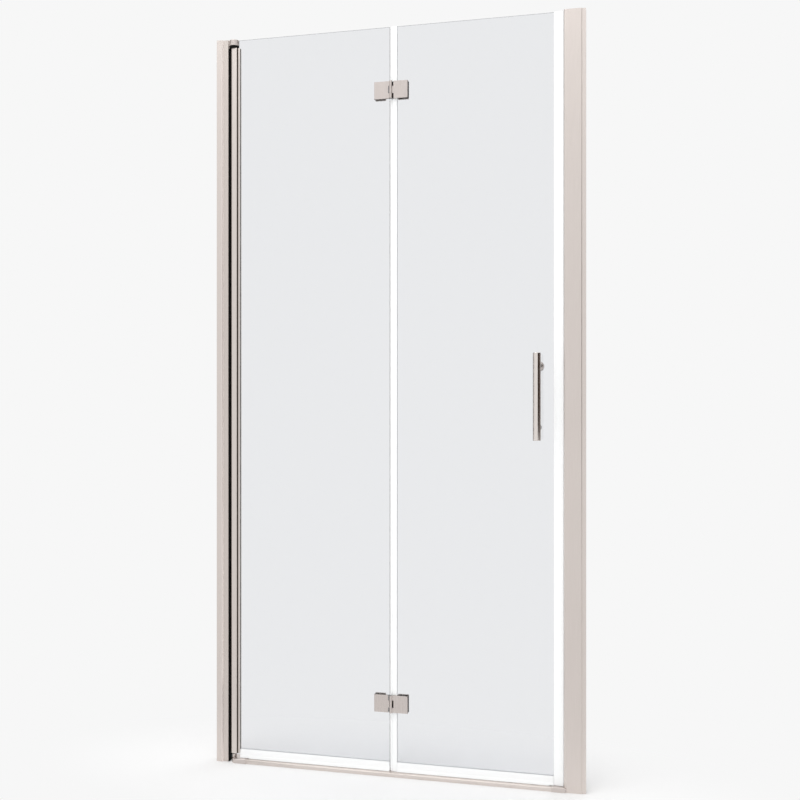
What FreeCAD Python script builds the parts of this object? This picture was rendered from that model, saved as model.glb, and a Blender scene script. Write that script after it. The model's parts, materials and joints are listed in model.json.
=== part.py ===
import FreeCAD
import Part
import math
import os

# Folding pivot shower door for an alcove.
# A round post turns on pins between a top block and a rail end block, and carries the first glass panel.
# A second glass panel hangs from the first on two three-knuckle hinges and closes against a strike jamb.
# The pins of those hinges stand in front of the glass, so the panels fold with their outer faces together.
# +X runs along the door from the hinge wall to the strike wall, +Y points into the shower, +Z is up.
# The origin is on the tray, at mid width, in the middle plane of the glass. Sizes are in millimetres.

# Overall size
overall_width = 920.0  # wall to wall
overall_height = 1828.8
glass_thickness = 6.0

# Extruded sections and fits
section_wall = 1.6  # wall of the channels and jambs
section_round = 1.0  # outside corners of the sections
slide_fit = 0.2  # play between pieces that slide together when the door is fitted
press_fit = 0.02  # radial play of a pin or stud that is pressed or screwed home
running_fit = 0.05  # radial play of a pin that turns
touch_gap = 0.3  # gap left between a soft or curved face and the face it wipes

# Wall channels, with their screw holes into the wall
hinge_channel_reach = 15.7  # wall to the tips of the hinge side channel
channel_step = 3.5  # how far that channel stands in front of the jamb inside it
channel_bead = 2.2  # width of the guide bead inside each leg tip
strike_channel_show = 9.3  # what shows of the strike side channel beside its jamb
strike_channel_grip = 18.0  # how far that channel reaches into its jamb
strike_channel_step = 0.8  # play between that channel and the jamb over it
wall_hole_radius = 2.75
wall_hole_inset = 110.0  # from each end of a channel to its first hole
wall_hole_count = 4

# Jambs
hinge_jamb_show = 14.4  # jamb face beside the channel
hinge_jamb_grip = 12.0  # jamb inside the channel
hinge_jamb_depth = 19.0  # front to back
jamb_nose_wall = 3.6  # wall that faces the post
gap_seal_width = 16.0
gap_seal_seat = 2.0  # depth of the seal's groove
strike_jamb_width = 41.3
strike_jamb_depth = 26.0
strike_nose_round = 3.5
strike_tip_round = 1.2  # edge beside the wall channel
strike_recess_depth = 5.0  # slot for the magnet holder
strike_recess_width = 12.4
strike_web = 2.0  # wall behind that slot

# Screws between jambs and channels, with snap caps
jamb_screw_radius = 2.0
jamb_screw_head_radius = 3.6
jamb_screw_head = 2.2
jamb_screw_length = 6.5
jamb_screw_inset = 200.0  # from each end to the first screw
jamb_screw_count = 3
screw_cap_radius = 5.4
screw_cap_height = 3.6
screw_cap_wall = 0.8
screw_cap_bevel = 0.7

# Turning post
post_gap = 2.9  # hinge jamb to post
post_radius = 10.0
post_shoulder = 9.9  # post axis to the squared side beside the clamp
post_shoulder_round = 0.8
post_bore_radius = 7.5
post_neck_width = 11.0
pocket_offset = 9.0  # post axis to the floor of the glass pocket
clamp_offset = 12.2  # post axis to the heels of the clamp lips
clamp_reach = 16.8  # post axis to the tips of the clamp lips
clamp_lip = 2.4
clamp_round = 0.8
gasket_wall = 1.2
gasket_base = 1.2
gasket_show = 0.1  # gasket edge in front of the lips

# Pivots
pivot_pin_radius = 4.0
pivot_pin_seat = 10.0  # length of a pin inside the piece that holds it
pivot_pin_grip = 22.0  # length of a pin inside the post
bush_length = 25.0  # plug of a bush inside the post
top_bush_radius = 12.5  # flange of the upper bush
bottom_bush_radius = 9.2  # flange of the lower bush
top_block_radius = 13.0
top_block_height = 14.3
top_block_bevel = 0.8
top_bush_flange = 6.7
bottom_bush_flange = 2.0
boss_height = 9.5
boss_radius = 6.0
block_screw_radius = 2.0
block_screw_head_radius = 3.6
block_screw_head = 2.2
block_screw_length = 8.0

# Threshold rail and its end blocks
rail_depth = 29.0
rail_height = 10.0
rail_front_height = 8.6
rail_back_height = 5.0
rail_crown_width = 11.0  # level strip on top of the rail
rail_wall = 1.5
rail_round = 1.2
rail_end_depth = 33.0
rail_end_height = 11.0
rail_end_round = 1.0
rail_end_lap_round = 2.5  # end of the block that laps the strike jamb
rail_end_bevel = 0.5
rail_end_grip = 22.0  # length of rail inside each end block
rail_end_gap = 6.7  # hinge jamb to the rounded block
rail_end_length_hinge = 43.2
rail_end_length_strike = 29.4
rail_end_wrap = 5.1  # how far the strike side block laps the front of its jamb

# Glass panels and their seals
glass_bottom = 20.0
glass_drop = 0.4  # glass top below the jamb tops
glass_arris = 0.5
glass_notch_gap = 0.7  # between the top block and the corner cut out of the glass
glass_notch_round = 1.0
panel_gap = 9.0  # glass to glass at the fold
fold_shift = 2.9  # fold nearer to the post than to the strike jamb
sweep_gap = 0.5  # seal ends above the rail end blocks
fin_gap = 0.4  # seal fins above the rail
fin_notch = 4.5  # how far the fins stop short of the block they swing over
seal_wall = 1.4
seal_end_gap = 0.4
bottom_seal_top = 33.0
bottom_fin_flare = 2.0  # how far the front fin leans out
drip_reach = 7.0  # how far the rear fin leans into the shower
fold_seal_grip = 9.6
fold_bulb_radius = 3.0
fold_bulb_wall = 0.9
fold_bulb_root = 0.7  # how far the bulb is set into its clip
edge_seal_grip = 11.7
edge_chamber = 10.7  # magnet chamber beyond the glass edge
edge_chamber_width = 11.0
edge_round = 1.2
strike_gap = 1.3  # edge seal to strike jamb
magnet_fit = 0.1
magnet_end = 4.0  # magnet strips stop short of the seal ends

# Glass to glass hinges
hinge_inset = 156.0  # glass end to hinge middle
hinge_height = 42.0
hinge_plate_offset = 6.2  # pin axis to the near edge of a plate
hinge_plate_width = 35.5
hinge_plate = 6.0
hinge_plate_round = 0.8
hinge_relief = 15.6  # pin axis to where the plates rest on their pads
hinge_relief_depth = 1.6  # hollow behind an outer plate that lets the fold seal pass
hinge_gasket = 1.0
hinge_gasket_inset = 0.5
hinge_flap = 0.8  # thickness of the pad's flap behind the knuckles
hinge_pin_radius = 2.5
hinge_pin_proud = 1.5  # pin axis in front of the plate faces
knuckle_radius = 3.8
knuckle_gap = 0.3
middle_knuckle = 17.4  # length of the middle one of the three
knuckle_root = 1.5  # how far a knuckle's arm is set into its plate
hinge_screw_radius = 2.5
hinge_screw_head_radius = 4.6
hinge_screw_head = 2.6
hinge_screw_spacing = 22.0
hinge_thread_depth = 4.5
hinge_glass_hole_radius = 5.0

# Handle bar outside, knob and cap inside
handle_edge = 48.4  # glass edge to handle axis
handle_length = 204.0
handle_radius = 9.0
handle_bevel = 1.0
handle_reach = 40.0  # glass face to bar axis
handle_post_radius = 6.0
handle_post_spacing = 145.0
handle_spigot_radius = 4.0
handle_spigot_seat = 6.0
handle_washer = 1.0
handle_washer_radius = 7.0
handle_stud_radius = 3.0
handle_stud_seat = 12.0
handle_sleeve_radius = 5.9
handle_hole_fit = 0.1
knob_length = 26.0
knob_radius = 12.2
knob_neck_radius = 6.5
knob_neck = 7.0  # length of the neck
knob_flare = 7.0  # from the neck to the full width
knob_bevel = 1.5
cap_radius = 7.5
cap_length = 5.0
cap_bevel = 1.5

# Places along X, from each wall inwards
wall_left = -overall_width / 2
wall_right = overall_width / 2
channel_tip_x = wall_left + hinge_channel_reach
jamb_face_x = channel_tip_x + hinge_jamb_show
jamb_back_x = channel_tip_x - hinge_jamb_grip
hinge_jamb_screw_x = channel_tip_x - (channel_bead + hinge_jamb_grip) / 2
pivot_x = jamb_face_x + post_gap + post_radius
strike_tip_x = wall_right - strike_channel_show
strike_x = strike_tip_x - strike_jamb_width
strike_jamb_screw_x = strike_tip_x - strike_channel_grip / 2
fold_x = (pivot_x + strike_x) / 2 - fold_shift
clamp_tip_x = pivot_x + clamp_reach
pocket_x = pivot_x + pocket_offset
glass_a_left = pocket_x + gasket_base
glass_a_right = fold_x - panel_gap / 2
glass_b_left = fold_x + panel_gap / 2
edge_seal_right = strike_x - strike_gap
glass_b_right = edge_seal_right - edge_chamber
handle_x = glass_b_right - handle_edge
rail_end_left = jamb_face_x + rail_end_gap
rail_left = rail_end_left + rail_end_length_hinge - rail_end_grip
rail_right = strike_x - rail_end_length_strike + rail_end_grip

# Places along Y, as half widths about the middle plane of the glass
glass_half = glass_thickness / 2
lip_inner = glass_half + gasket_wall
lip_outer = lip_inner + clamp_lip
hinge_jamb_half = hinge_jamb_depth / 2
hinge_hollow_half = hinge_jamb_half - section_wall
hinge_channel_half = hinge_jamb_half + channel_step
strike_jamb_half = strike_jamb_depth / 2
strike_channel_half = strike_jamb_half - section_wall - strike_channel_step
strike_recess_half = strike_recess_width / 2
seal_half = glass_half + seal_wall
edge_half = edge_chamber_width / 2
rail_half = rail_depth / 2
rail_end_half = rail_end_depth / 2
plate_inner = glass_half + hinge_gasket
plate_outer = plate_inner + hinge_plate
plate_hollow = plate_inner + hinge_relief_depth
hinge_pin_y = -plate_outer - hinge_pin_proud
handle_y = -glass_half - handle_reach
handle_foot = glass_half + handle_washer
spigot_floor_y = handle_y + handle_radius - handle_spigot_seat
knob_stud_depth = knob_length / 2
cap_stud_depth = cap_length - cap_bevel

# Heights
block_bottom = overall_height - top_block_height
post_top = block_bottom - touch_gap - top_bush_flange
boss_top = rail_end_height + boss_height
post_bottom = boss_top + bottom_bush_flange
glass_top = overall_height - glass_drop
seal_bottom = rail_end_height + sweep_gap
fin_bottom = rail_height + fin_gap
lower_hinge_z = glass_bottom + hinge_inset
upper_hinge_z = glass_top - hinge_inset
handle_z = (glass_bottom + glass_top) / 2
upper_post_z = handle_z + handle_post_spacing / 2
lower_post_z = handle_z - handle_post_spacing / 2

# The pivot panel lies on the minus side of the fold, the fold panel on the plus side
PIVOT_SIDE = -1
FOLD_SIDE = 1
V = FreeCAD.Vector
ALONG_X = V(1, 0, 0)
ALONG_Y = V(0, 1, 0)
ALONG_Z = V(0, 0, 1)
OUTWARD = V(0, -1, 0)
PAST = 1.0  # how far a cut runs past the face it opens
TINY = 1e-6


def rounded_corner(before, here, after, radius):
    """The points where a corner's rounding starts, peaks and ends."""
    back = (before - here).normalize()
    onward = (after - here).normalize()
    half_angle = back.getAngle(onward) / 2
    bisector = (back + onward).normalize()
    reach = radius / math.tan(half_angle)
    peak = here + bisector * (radius / math.sin(half_angle) - radius)
    return here + back * reach, peak, here + onward * reach


def outline(corners):
    """Closed wire through (u, v) or (u, v, radius) corners."""
    points = [V(corner[0], corner[1], 0) for corner in corners]
    turns = []
    for i, corner in enumerate(corners):
        turn = (points[i], points[i], points[i])
        if len(corner) > 2:
            turn = rounded_corner(points[i - 1], points[i], points[(i + 1) % len(points)], corner[2])
        turns.append(turn)
    edges = []
    for i, (start, peak, end) in enumerate(turns):
        last_end = turns[i - 1][2]
        if last_end.distanceToPoint(start) > TINY:
            edges.append(Part.makeLine(last_end, start))
        if start.distanceToPoint(end) > TINY:
            edges.append(Part.Arc(start, peak, end).toShape())
    return Part.Wire(edges)


def mirrored(half):
    """A half outline and its mirror image in the middle plane of the glass."""
    other_half = [(corner[0], -corner[1], *corner[2:]) for corner in reversed(half)]
    return half + other_half


def upright(corners, z_low, z_high):
    """An X-Y outline drawn up between two heights."""
    face = Part.Face(outline(corners))
    face.translate(V(0, 0, z_low))
    return face.extrude(V(0, 0, z_high - z_low))


def lengthwise(corners, x_low, x_high):
    """A Y-Z outline drawn along the door."""
    face = Part.Face(outline(corners))
    face.rotate(V(0, 0, 0), V(1, 1, 1), 120)
    face.translate(V(x_low, 0, 0))
    return face.extrude(V(x_high - x_low, 0, 0))


def block(x_range, y_range, z_range):
    """Box between pairs of limits."""
    low = V(x_range[0], y_range[0], z_range[0])
    high = V(x_range[1], y_range[1], z_range[1])
    size = high - low
    return Part.makeBox(size.x, size.y, size.z, low)


def rod(radius, start, along, length):
    return Part.makeCylinder(radius, length, start, along)


def turned(points, x, z):
    """Solid turned about a Y axis at (x, z) from a profile of (radius, y) points."""
    face = Part.Face(outline(points))
    face.translate(V(x, 0, z))
    return face.revolve(V(x, 0, z), ALONG_Y, 360)


def spaced(inset, count):
    """Heights of evenly spaced features between equal insets from both ends of the door."""
    pitch = (overall_height - 2 * inset) / (count - 1)
    return [inset + i * pitch for i in range(count)]


def edges_at_height(shape, z):
    """The edges of a shape that lie level at one height."""
    return [
        edge
        for edge in shape.Edges
        if abs(edge.BoundBox.ZMin - z) < TINY and abs(edge.BoundBox.ZMax - z) < TINY
    ]


# Hinge side frame
def wall_channel_hinge_side():
    """Wall channel whose beaded leg tips guide the hinge jamb."""
    inner = hinge_channel_half - section_wall
    bead_face = hinge_jamb_half + slide_fit
    half = [
        (wall_left, hinge_channel_half),
        (channel_tip_x, hinge_channel_half, section_round),
        (channel_tip_x, bead_face),
        (channel_tip_x - channel_bead, bead_face),
        (channel_tip_x - channel_bead, inner),
        (wall_left + section_wall, inner),
    ]
    channel = upright(mirrored(half), 0, overall_height)
    return channel.cut(wall_holes(wall_left) + jamb_screw_holes(hinge_jamb_screw_x))


def wall_holes(wall_x):
    start = wall_x - section_wall - PAST
    length = 2 * (section_wall + PAST)
    return [
        rod(wall_hole_radius, V(start, 0, z), ALONG_X, length)
        for z in spaced(wall_hole_inset, wall_hole_count)
    ]


def jamb_screw_holes(x):
    """Holes for the jamb screws through the shower side of a section."""
    length = hinge_channel_half + strike_jamb_half
    return [
        rod(jamb_screw_radius + press_fit, V(x, 0, z), ALONG_Y, length)
        for z in spaced(jamb_screw_inset, jamb_screw_count)
    ]


def hinge_jamb():
    """Hollow section that slides in the wall channel and carries the pivot block."""
    half = [(jamb_back_x, hinge_jamb_half, section_round), (jamb_face_x, hinge_jamb_half, section_round)]
    jamb = upright(mirrored(half), 0, overall_height)
    hollow = block(
        (jamb_back_x + section_wall, jamb_face_x - jamb_nose_wall),
        (-hinge_hollow_half, hinge_hollow_half),
        (-PAST, overall_height + PAST),
    )
    groove_half = gap_seal_width / 2 + press_fit
    groove = block(
        (jamb_face_x - gap_seal_seat, jamb_face_x + PAST),
        (-groove_half, groove_half),
        (-PAST, overall_height + PAST),
    )
    notch = block(
        (jamb_face_x - jamb_nose_wall - PAST, jamb_face_x + PAST),
        (-hinge_hollow_half, hinge_hollow_half),
        (block_bottom, overall_height + PAST),
    )
    screw_holes = jamb_screw_holes(hinge_jamb_screw_x) + [block_screw_hole()]
    return jamb.cut([hollow, groove, notch] + screw_holes)


def jamb_screws(x, seat_y):
    """Pan head screws driven from the shower side."""
    screws = []
    for z in spaced(jamb_screw_inset, jamb_screw_count):
        head = rod(jamb_screw_head_radius, V(x, seat_y, z), ALONG_Y, jamb_screw_head)
        shank = rod(jamb_screw_radius, V(x, seat_y - jamb_screw_length, z), ALONG_Y, jamb_screw_length)
        screws.append(head.fuse(shank).removeSplitter())
    return Part.makeCompound(screws)


def screw_caps(x, seat_y):
    """Snap caps over the jamb screws, hollow to take the heads."""
    caps = []
    for z in spaced(jamb_screw_inset, jamb_screw_count):
        inner_radius = screw_cap_radius - screw_cap_wall
        top_y = seat_y + screw_cap_height
        profile = [
            (inner_radius, seat_y),
            (screw_cap_radius, seat_y),
            (screw_cap_radius, top_y - screw_cap_bevel),
            (screw_cap_radius - screw_cap_bevel, top_y),
            (0, top_y),
            (0, top_y - screw_cap_wall),
            (inner_radius, top_y - screw_cap_wall),
        ]
        caps.append(turned(profile, x, z))
    return Part.makeCompound(caps)


def gap_seal():
    """Wide wiper strip in the jamb's groove, just short of the turning post."""
    half_width = gap_seal_width / 2
    tip_x = pivot_x - post_radius - touch_gap
    return block(
        (jamb_face_x - gap_seal_seat, tip_x),
        (-half_width, half_width),
        (touch_gap, post_top - touch_gap),
    )


def top_pivot_block():
    """Round block over the post, with a tongue inside the jamb's hollow."""
    nose = rod(top_block_radius, V(pivot_x, 0, block_bottom), ALONG_Z, top_block_height)
    nose = nose.makeChamfer(top_block_bevel, edges_at_height(nose, overall_height))
    tongue_half = hinge_hollow_half - slide_fit
    tongue = block(
        (jamb_back_x + section_wall + slide_fit, pivot_x),
        (-tongue_half, tongue_half),
        (block_bottom, overall_height),
    )
    bore_start = V(pivot_x, 0, block_bottom - PAST)
    bore = rod(pivot_pin_radius + press_fit, bore_start, ALONG_Z, pivot_pin_seat + PAST)
    return nose.fuse(tongue).removeSplitter().cut([bore, block_screw_hole()])


def block_screw_place(y):
    """Where the screw of the top block enters the jamb, half way between channel and jamb face."""
    return V((channel_tip_x + jamb_face_x) / 2, y, overall_height - top_block_height / 2)


def block_screw_hole():
    return rod(block_screw_radius + press_fit, block_screw_place(0), ALONG_Y, hinge_jamb_depth)


def top_block_screw():
    """Screw through the jamb into the top block's tongue, from the shower side."""
    head = rod(block_screw_head_radius, block_screw_place(hinge_jamb_half), ALONG_Y, block_screw_head)
    start = block_screw_place(hinge_jamb_half - block_screw_length)
    return head.fuse(rod(block_screw_radius, start, ALONG_Y, block_screw_length)).removeSplitter()


def top_pivot_pin():
    length = pivot_pin_grip + block_bottom - post_top + pivot_pin_seat
    return rod(pivot_pin_radius, V(pivot_x, 0, post_top - pivot_pin_grip), ALONG_Z, length)


def bottom_pivot_pin():
    length = pivot_pin_seat + bottom_bush_flange + pivot_pin_grip
    return rod(pivot_pin_radius, V(pivot_x, 0, boss_top - pivot_pin_seat), ALONG_Z, length)


# Threshold
def rail_outline(grow):
    """Threshold section: upright front, level crown under the seals, and a fall towards the shower."""
    half = rail_half + grow
    crown_half = rail_crown_width / 2 + grow
    return [
        (-half, 0),
        (-half, rail_front_height + grow, rail_round),
        (-crown_half, rail_height + grow, rail_round),
        (crown_half, rail_height + grow, rail_round),
        (half, rail_back_height + grow, rail_round),
        (half, 0),
    ]


def threshold_rail():
    """Closed hollow section that lies on the tray."""
    rail = lengthwise(rail_outline(0), rail_left, rail_right)
    hollow = lengthwise(rail_outline(-rail_wall), rail_left - PAST, rail_right + PAST)
    hollow_top = block(
        (rail_left - PAST, rail_right + PAST), (-rail_half, rail_half), (rail_wall, rail_height)
    )
    return rail.cut(hollow.common(hollow_top))


def rail_socket():
    """Space for the rail inside an end block."""
    return lengthwise(rail_outline(slide_fit), rail_left - slide_fit, rail_right + slide_fit)


def rail_end_hinge_side():
    """End block with a round nose beside the jamb and the boss that carries the lower pivot."""
    right = rail_end_left + rail_end_length_hinge
    half = [(rail_end_left, rail_end_half, rail_end_half), (right, rail_end_half)]
    base = upright(mirrored(half), 0, rail_end_height)
    base = base.makeChamfer(rail_end_bevel, edges_at_height(base, rail_end_height))
    boss = rod(boss_radius, V(pivot_x, 0, 0), ALONG_Z, boss_top)
    bore_start = V(pivot_x, 0, boss_top - pivot_pin_seat)
    bore = rod(pivot_pin_radius + press_fit, bore_start, ALONG_Z, pivot_pin_seat + PAST)
    return base.fuse(boss).removeSplitter().cut([rail_socket(), bore])


def rail_end_strike_side():
    """End block that laps the corners of the strike jamb."""
    left = strike_x - rail_end_length_strike
    wrap_x = strike_x + rail_end_wrap
    half = [
        (left, rail_end_half, rail_end_round),
        (wrap_x, rail_end_half, rail_end_lap_round),
        (wrap_x, strike_jamb_half),
        (strike_x, strike_jamb_half),
    ]
    base = upright(mirrored(half), 0, rail_end_height)
    return base.cut(rail_socket())


# Strike side frame
def wall_channel_strike_side():
    """Wall channel inside the legs of the strike jamb."""
    leg_x = strike_tip_x - strike_channel_grip
    inner = strike_channel_half - section_wall
    half = [
        (wall_right, strike_channel_half),
        (leg_x, strike_channel_half),
        (leg_x, inner),
        (wall_right - section_wall, inner),
    ]
    channel = upright(mirrored(half), 0, overall_height)
    return channel.cut(wall_holes(wall_right) + jamb_screw_holes(strike_jamb_screw_x))


def strike_jamb():
    """Jamb with a slot for the magnet holder, hollow corners and legs over the wall channel."""
    floor_x = strike_x + strike_recess_depth
    web_x = floor_x + strike_web
    inner = strike_jamb_half - section_wall
    half = [
        (floor_x, strike_recess_half),
        (strike_x, strike_recess_half),
        (strike_x, strike_jamb_half, strike_nose_round),
        (strike_tip_x, strike_jamb_half, strike_tip_round),
        (strike_tip_x, inner),
        (web_x, inner),
    ]
    jamb = upright(mirrored(half), 0, overall_height)
    hollows = []
    for side in (-1, 1):
        limits = sorted((side * (strike_recess_half + section_wall), side * inner))
        hollow = block((strike_x + strike_nose_round, web_x + PAST), limits, (-PAST, overall_height + PAST))
        hollows.append(hollow)
    return jamb.cut(hollows + jamb_screw_holes(strike_jamb_screw_x))


def strike_magnet_range():
    """Heights of the magnet holder, above the rail end block."""
    return seal_bottom, overall_height - magnet_end


def strike_magnet_holder():
    """Plastic strip in the strike jamb's slot, hollow to take its magnet."""
    low, high = strike_magnet_range()
    half_width = strike_recess_half - magnet_fit
    holder = block((strike_x, strike_x + strike_recess_depth), (-half_width, half_width), (low, high))
    x_range, inner = strike_magnet_section(magnet_fit)
    return holder.cut(block(x_range, (-inner, inner), (low + magnet_end, high - magnet_end)))


def strike_magnet_section(grow):
    """X limits and half width of the magnet in its holder."""
    x_range = (strike_x + seal_wall - grow, strike_x + strike_recess_depth - seal_wall + grow)
    return x_range, strike_recess_half - magnet_fit - seal_wall + grow


def strike_magnet():
    low, high = strike_magnet_range()
    x_range, half_width = strike_magnet_section(0)
    ends = magnet_end + magnet_fit
    return block(x_range, (-half_width, half_width), (low + ends, high - ends))


# Pivot panel
def pivot_post():
    """Post, round beside the jamb and square beside the glass, with a bore and a glass clamp."""
    height = post_top - post_bottom
    shoulder_x = pivot_x + post_shoulder
    half = [
        (pivot_x - post_radius, post_radius, post_radius),
        (shoulder_x, post_radius, post_shoulder_round),
    ]
    barrel = upright(mirrored(half), post_bottom, post_top)
    neck_half = post_neck_width / 2
    clamp_x = pivot_x + clamp_offset
    neck = block((pivot_x, clamp_tip_x), (-neck_half, neck_half), (post_bottom, post_top))
    half = [(clamp_x, lip_outer, clamp_round), (clamp_tip_x, lip_outer, clamp_round)]
    clamp = upright(mirrored(half), post_bottom, post_top)
    pocket = block(
        (pocket_x, clamp_tip_x + PAST),
        (-lip_inner, lip_inner),
        (post_bottom - PAST, post_top + PAST),
    )
    bore = rod(post_bore_radius, V(pivot_x, 0, post_bottom - PAST), ALONG_Z, height + 2 * PAST)
    return barrel.fuse([neck, clamp]).removeSplitter().cut([pocket, bore])


def post_bush(flange_radius, flange_low, flange_high, plug_low, plug_high):
    """Flanged bush between the post and a fixed pin."""
    low = min(flange_low, plug_low)
    high = max(flange_high, plug_high)
    flange = rod(flange_radius, V(pivot_x, 0, flange_low), ALONG_Z, flange_high - flange_low)
    plug_radius = post_bore_radius - press_fit
    plug = rod(plug_radius, V(pivot_x, 0, plug_low), ALONG_Z, plug_high - plug_low)
    bore = rod(pivot_pin_radius + running_fit, V(pivot_x, 0, low - PAST), ALONG_Z, high - low + 2 * PAST)
    return flange.fuse(plug).removeSplitter().cut(bore)


def top_bush():
    flange_top = post_top + top_bush_flange
    return post_bush(top_bush_radius, post_top, flange_top, post_top - bush_length, post_top)


def bottom_bush():
    return post_bush(bottom_bush_radius, boss_top, post_bottom, post_bottom, post_bottom + bush_length)


def glazing_gasket():
    """Channel strip that holds the glass in the post's clamp."""
    show_x = clamp_tip_x + gasket_show
    half = [
        (pocket_x, lip_inner),
        (show_x, lip_inner),
        (show_x, glass_half),
        (glass_a_left, glass_half),
    ]
    return upright(mirrored(half), post_bottom, post_top)


def pane(x_low, x_high, holes):
    """Toughened pane with its sharp edges taken off, and holes through it."""
    glass = block((x_low, x_high), (-glass_half, glass_half), (glass_bottom, glass_top))
    glass = glass.makeChamfer(glass_arris, glass.Edges)
    return glass.cut(holes)


def pane_hole(x, z, radius):
    return rod(radius, V(x, -glass_half - PAST, z), ALONG_Y, glass_thickness + 2 * PAST)


def glass_pivot_panel():
    """Glass with its upper corner cut out beside the top block."""
    holes = [pane_hole(x, z, hinge_glass_hole_radius) for x, z in hinge_screw_places(PIVOT_SIDE)]
    notch_x = pivot_x + top_block_radius + glass_notch_gap
    notch_z = post_top - touch_gap
    notch = block(
        (glass_a_left - PAST, notch_x),
        (-glass_half - PAST, glass_half + PAST),
        (notch_z, glass_top + PAST),
    )
    inner_edges = [edge for edge in edges_at_height(notch, notch_z) if edge.BoundBox.XMin > notch_x - TINY]
    notch = notch.makeFillet(glass_notch_round, inner_edges)
    return pane(glass_a_left, glass_a_right, holes).cut(notch)


def bottom_seal(x_low, x_high, notch):
    """Clip round the bottom edge of the glass, with two fins notched to pass over a rail end block."""
    base = glass_bottom - seal_wall
    front_tip = -seal_half - bottom_fin_flare
    drip_tip = seal_half + drip_reach
    profile = [
        (-seal_half, bottom_seal_top),
        (-seal_half, base),
        (front_tip, fin_bottom),
        (front_tip + seal_wall, fin_bottom),
        (-seal_half + seal_wall, base - seal_wall),
        (seal_half - seal_wall, base - seal_wall),
        (drip_tip - seal_wall, fin_bottom),
        (drip_tip, fin_bottom),
        (seal_half, base + seal_wall),
        (seal_half, bottom_seal_top),
        (glass_half, bottom_seal_top),
        (glass_half, glass_bottom),
        (-glass_half, glass_bottom),
        (-glass_half, bottom_seal_top),
    ]
    return lengthwise(profile, x_low, x_high).cut(block(notch, (-rail_half, rail_half), (0, seal_bottom)))


def bottom_seal_pivot_panel():
    left = clamp_tip_x + gasket_show + seal_end_gap
    notch_end = rail_end_left + rail_end_length_hinge + fin_notch
    return bottom_seal(left, glass_a_right, (left - PAST, notch_end))


# Fold hinges
def hinge_places():
    return (lower_hinge_z, upper_hinge_z)


def plate_mid_x(side):
    return fold_x + side * (hinge_plate_offset + hinge_plate_width / 2)


def hinge_screw_places(side):
    """X and Z of the four screws that clamp one panel's hinge plates."""
    x = plate_mid_x(side)
    return [(x, z + end * hinge_screw_spacing / 2) for z in hinge_places() for end in (-1, 1)]


def plate_far_x(side):
    return fold_x + side * (hinge_plate_offset + hinge_plate_width)


def hinge_plate_body(corners, z_mid):
    return upright(corners, z_mid - hinge_height / 2, z_mid + hinge_height / 2)


def knuckle(side, slot, z_mid):
    """One of three lengths of the barrel, with the arm that joins it to its plate."""
    middle_half = middle_knuckle / 2
    starts = (-hinge_height / 2, -middle_half, middle_half + knuckle_gap)
    ends = (-middle_half - knuckle_gap, middle_half, hinge_height / 2)
    z_low = z_mid + starts[slot]
    z_high = z_mid + ends[slot]
    barrel = rod(knuckle_radius, V(fold_x, hinge_pin_y, z_low), ALONG_Z, z_high - z_low)
    root_x = fold_x + side * (hinge_plate_offset + knuckle_root)
    arm_back = hinge_pin_y + knuckle_radius
    arm = [(fold_x, hinge_pin_y), (root_x, -plate_outer), (root_x, arm_back), (fold_x, arm_back)]
    return barrel.fuse(upright(arm, z_low, z_high))


def hinge_leaf(side, z_mid, slots, pin_play):
    """Outer plate with the given knuckles, threaded from behind and hollow where the fold seal passes."""
    near = fold_x + side * hinge_plate_offset
    relief_x = fold_x + side * hinge_relief
    far = plate_far_x(side)
    corners = [
        (near, -plate_hollow),
        (relief_x, -plate_hollow),
        (relief_x, -plate_inner),
        (far, -plate_inner),
        (far, -plate_outer, hinge_plate_round),
        (near, -plate_outer, hinge_plate_round),
    ]
    plate = hinge_plate_body(corners, z_mid)
    leaf = plate.fuse([knuckle(side, slot, z_mid) for slot in slots]).removeSplitter()
    bore_start = V(fold_x, hinge_pin_y, z_mid - hinge_height / 2 - PAST)
    cuts = [rod(hinge_pin_radius + pin_play, bore_start, ALONG_Z, hinge_height + 2 * PAST)]
    x = plate_mid_x(side)
    for end in (-1, 1):
        start = V(x, -plate_inner, z_mid + end * hinge_screw_spacing / 2)
        cuts.append(rod(hinge_screw_radius + press_fit, start, OUTWARD, hinge_thread_depth))
    return leaf.cut(cuts)


def carrier_leaf(side, z_mid):
    """Leaf with the outer two knuckles, which hold the pin."""
    return hinge_leaf(side, z_mid, (0, 2), press_fit)


def turning_leaf(side, z_mid):
    """Leaf with the middle knuckle, which turns on the pin."""
    return hinge_leaf(side, z_mid, (1,), running_fit)


def hinge_pin(z_mid):
    start = V(fold_x, hinge_pin_y, z_mid - hinge_height / 2)
    return rod(hinge_pin_radius, start, ALONG_Z, hinge_height)


def hinge_screw(x, z, grow):
    """Countersunk screw from the shower side. Grown a little, it is also its own hole."""
    head = Part.makeCone(
        hinge_screw_head_radius + grow,
        hinge_screw_radius + grow,
        hinge_screw_head,
        V(x, plate_outer, z),
        OUTWARD,
    )
    shank_start = V(x, plate_outer - hinge_screw_head, z)
    length = plate_outer - hinge_screw_head + plate_inner + hinge_thread_depth - touch_gap
    return head.fuse(rod(hinge_screw_radius + grow, shank_start, OUTWARD, length)).removeSplitter()


def hinge_clamp_plate(side, z_mid):
    """Inner plate beside the fold seal, with two countersunk holes."""
    near = fold_x + side * hinge_relief
    far = plate_far_x(side)
    corners = [
        (near, plate_inner),
        (far, plate_inner),
        (far, plate_outer, hinge_plate_round),
        (near, plate_outer, hinge_plate_round),
    ]
    plate = hinge_plate_body(corners, z_mid)
    holes = [hinge_screw(x, z, press_fit) for x, z in hinge_screw_places(side)]
    return plate.cut(holes)


def hinge_screws(side):
    return Part.makeCompound([hinge_screw(x, z, 0) for x, z in hinge_screw_places(side)])


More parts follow.
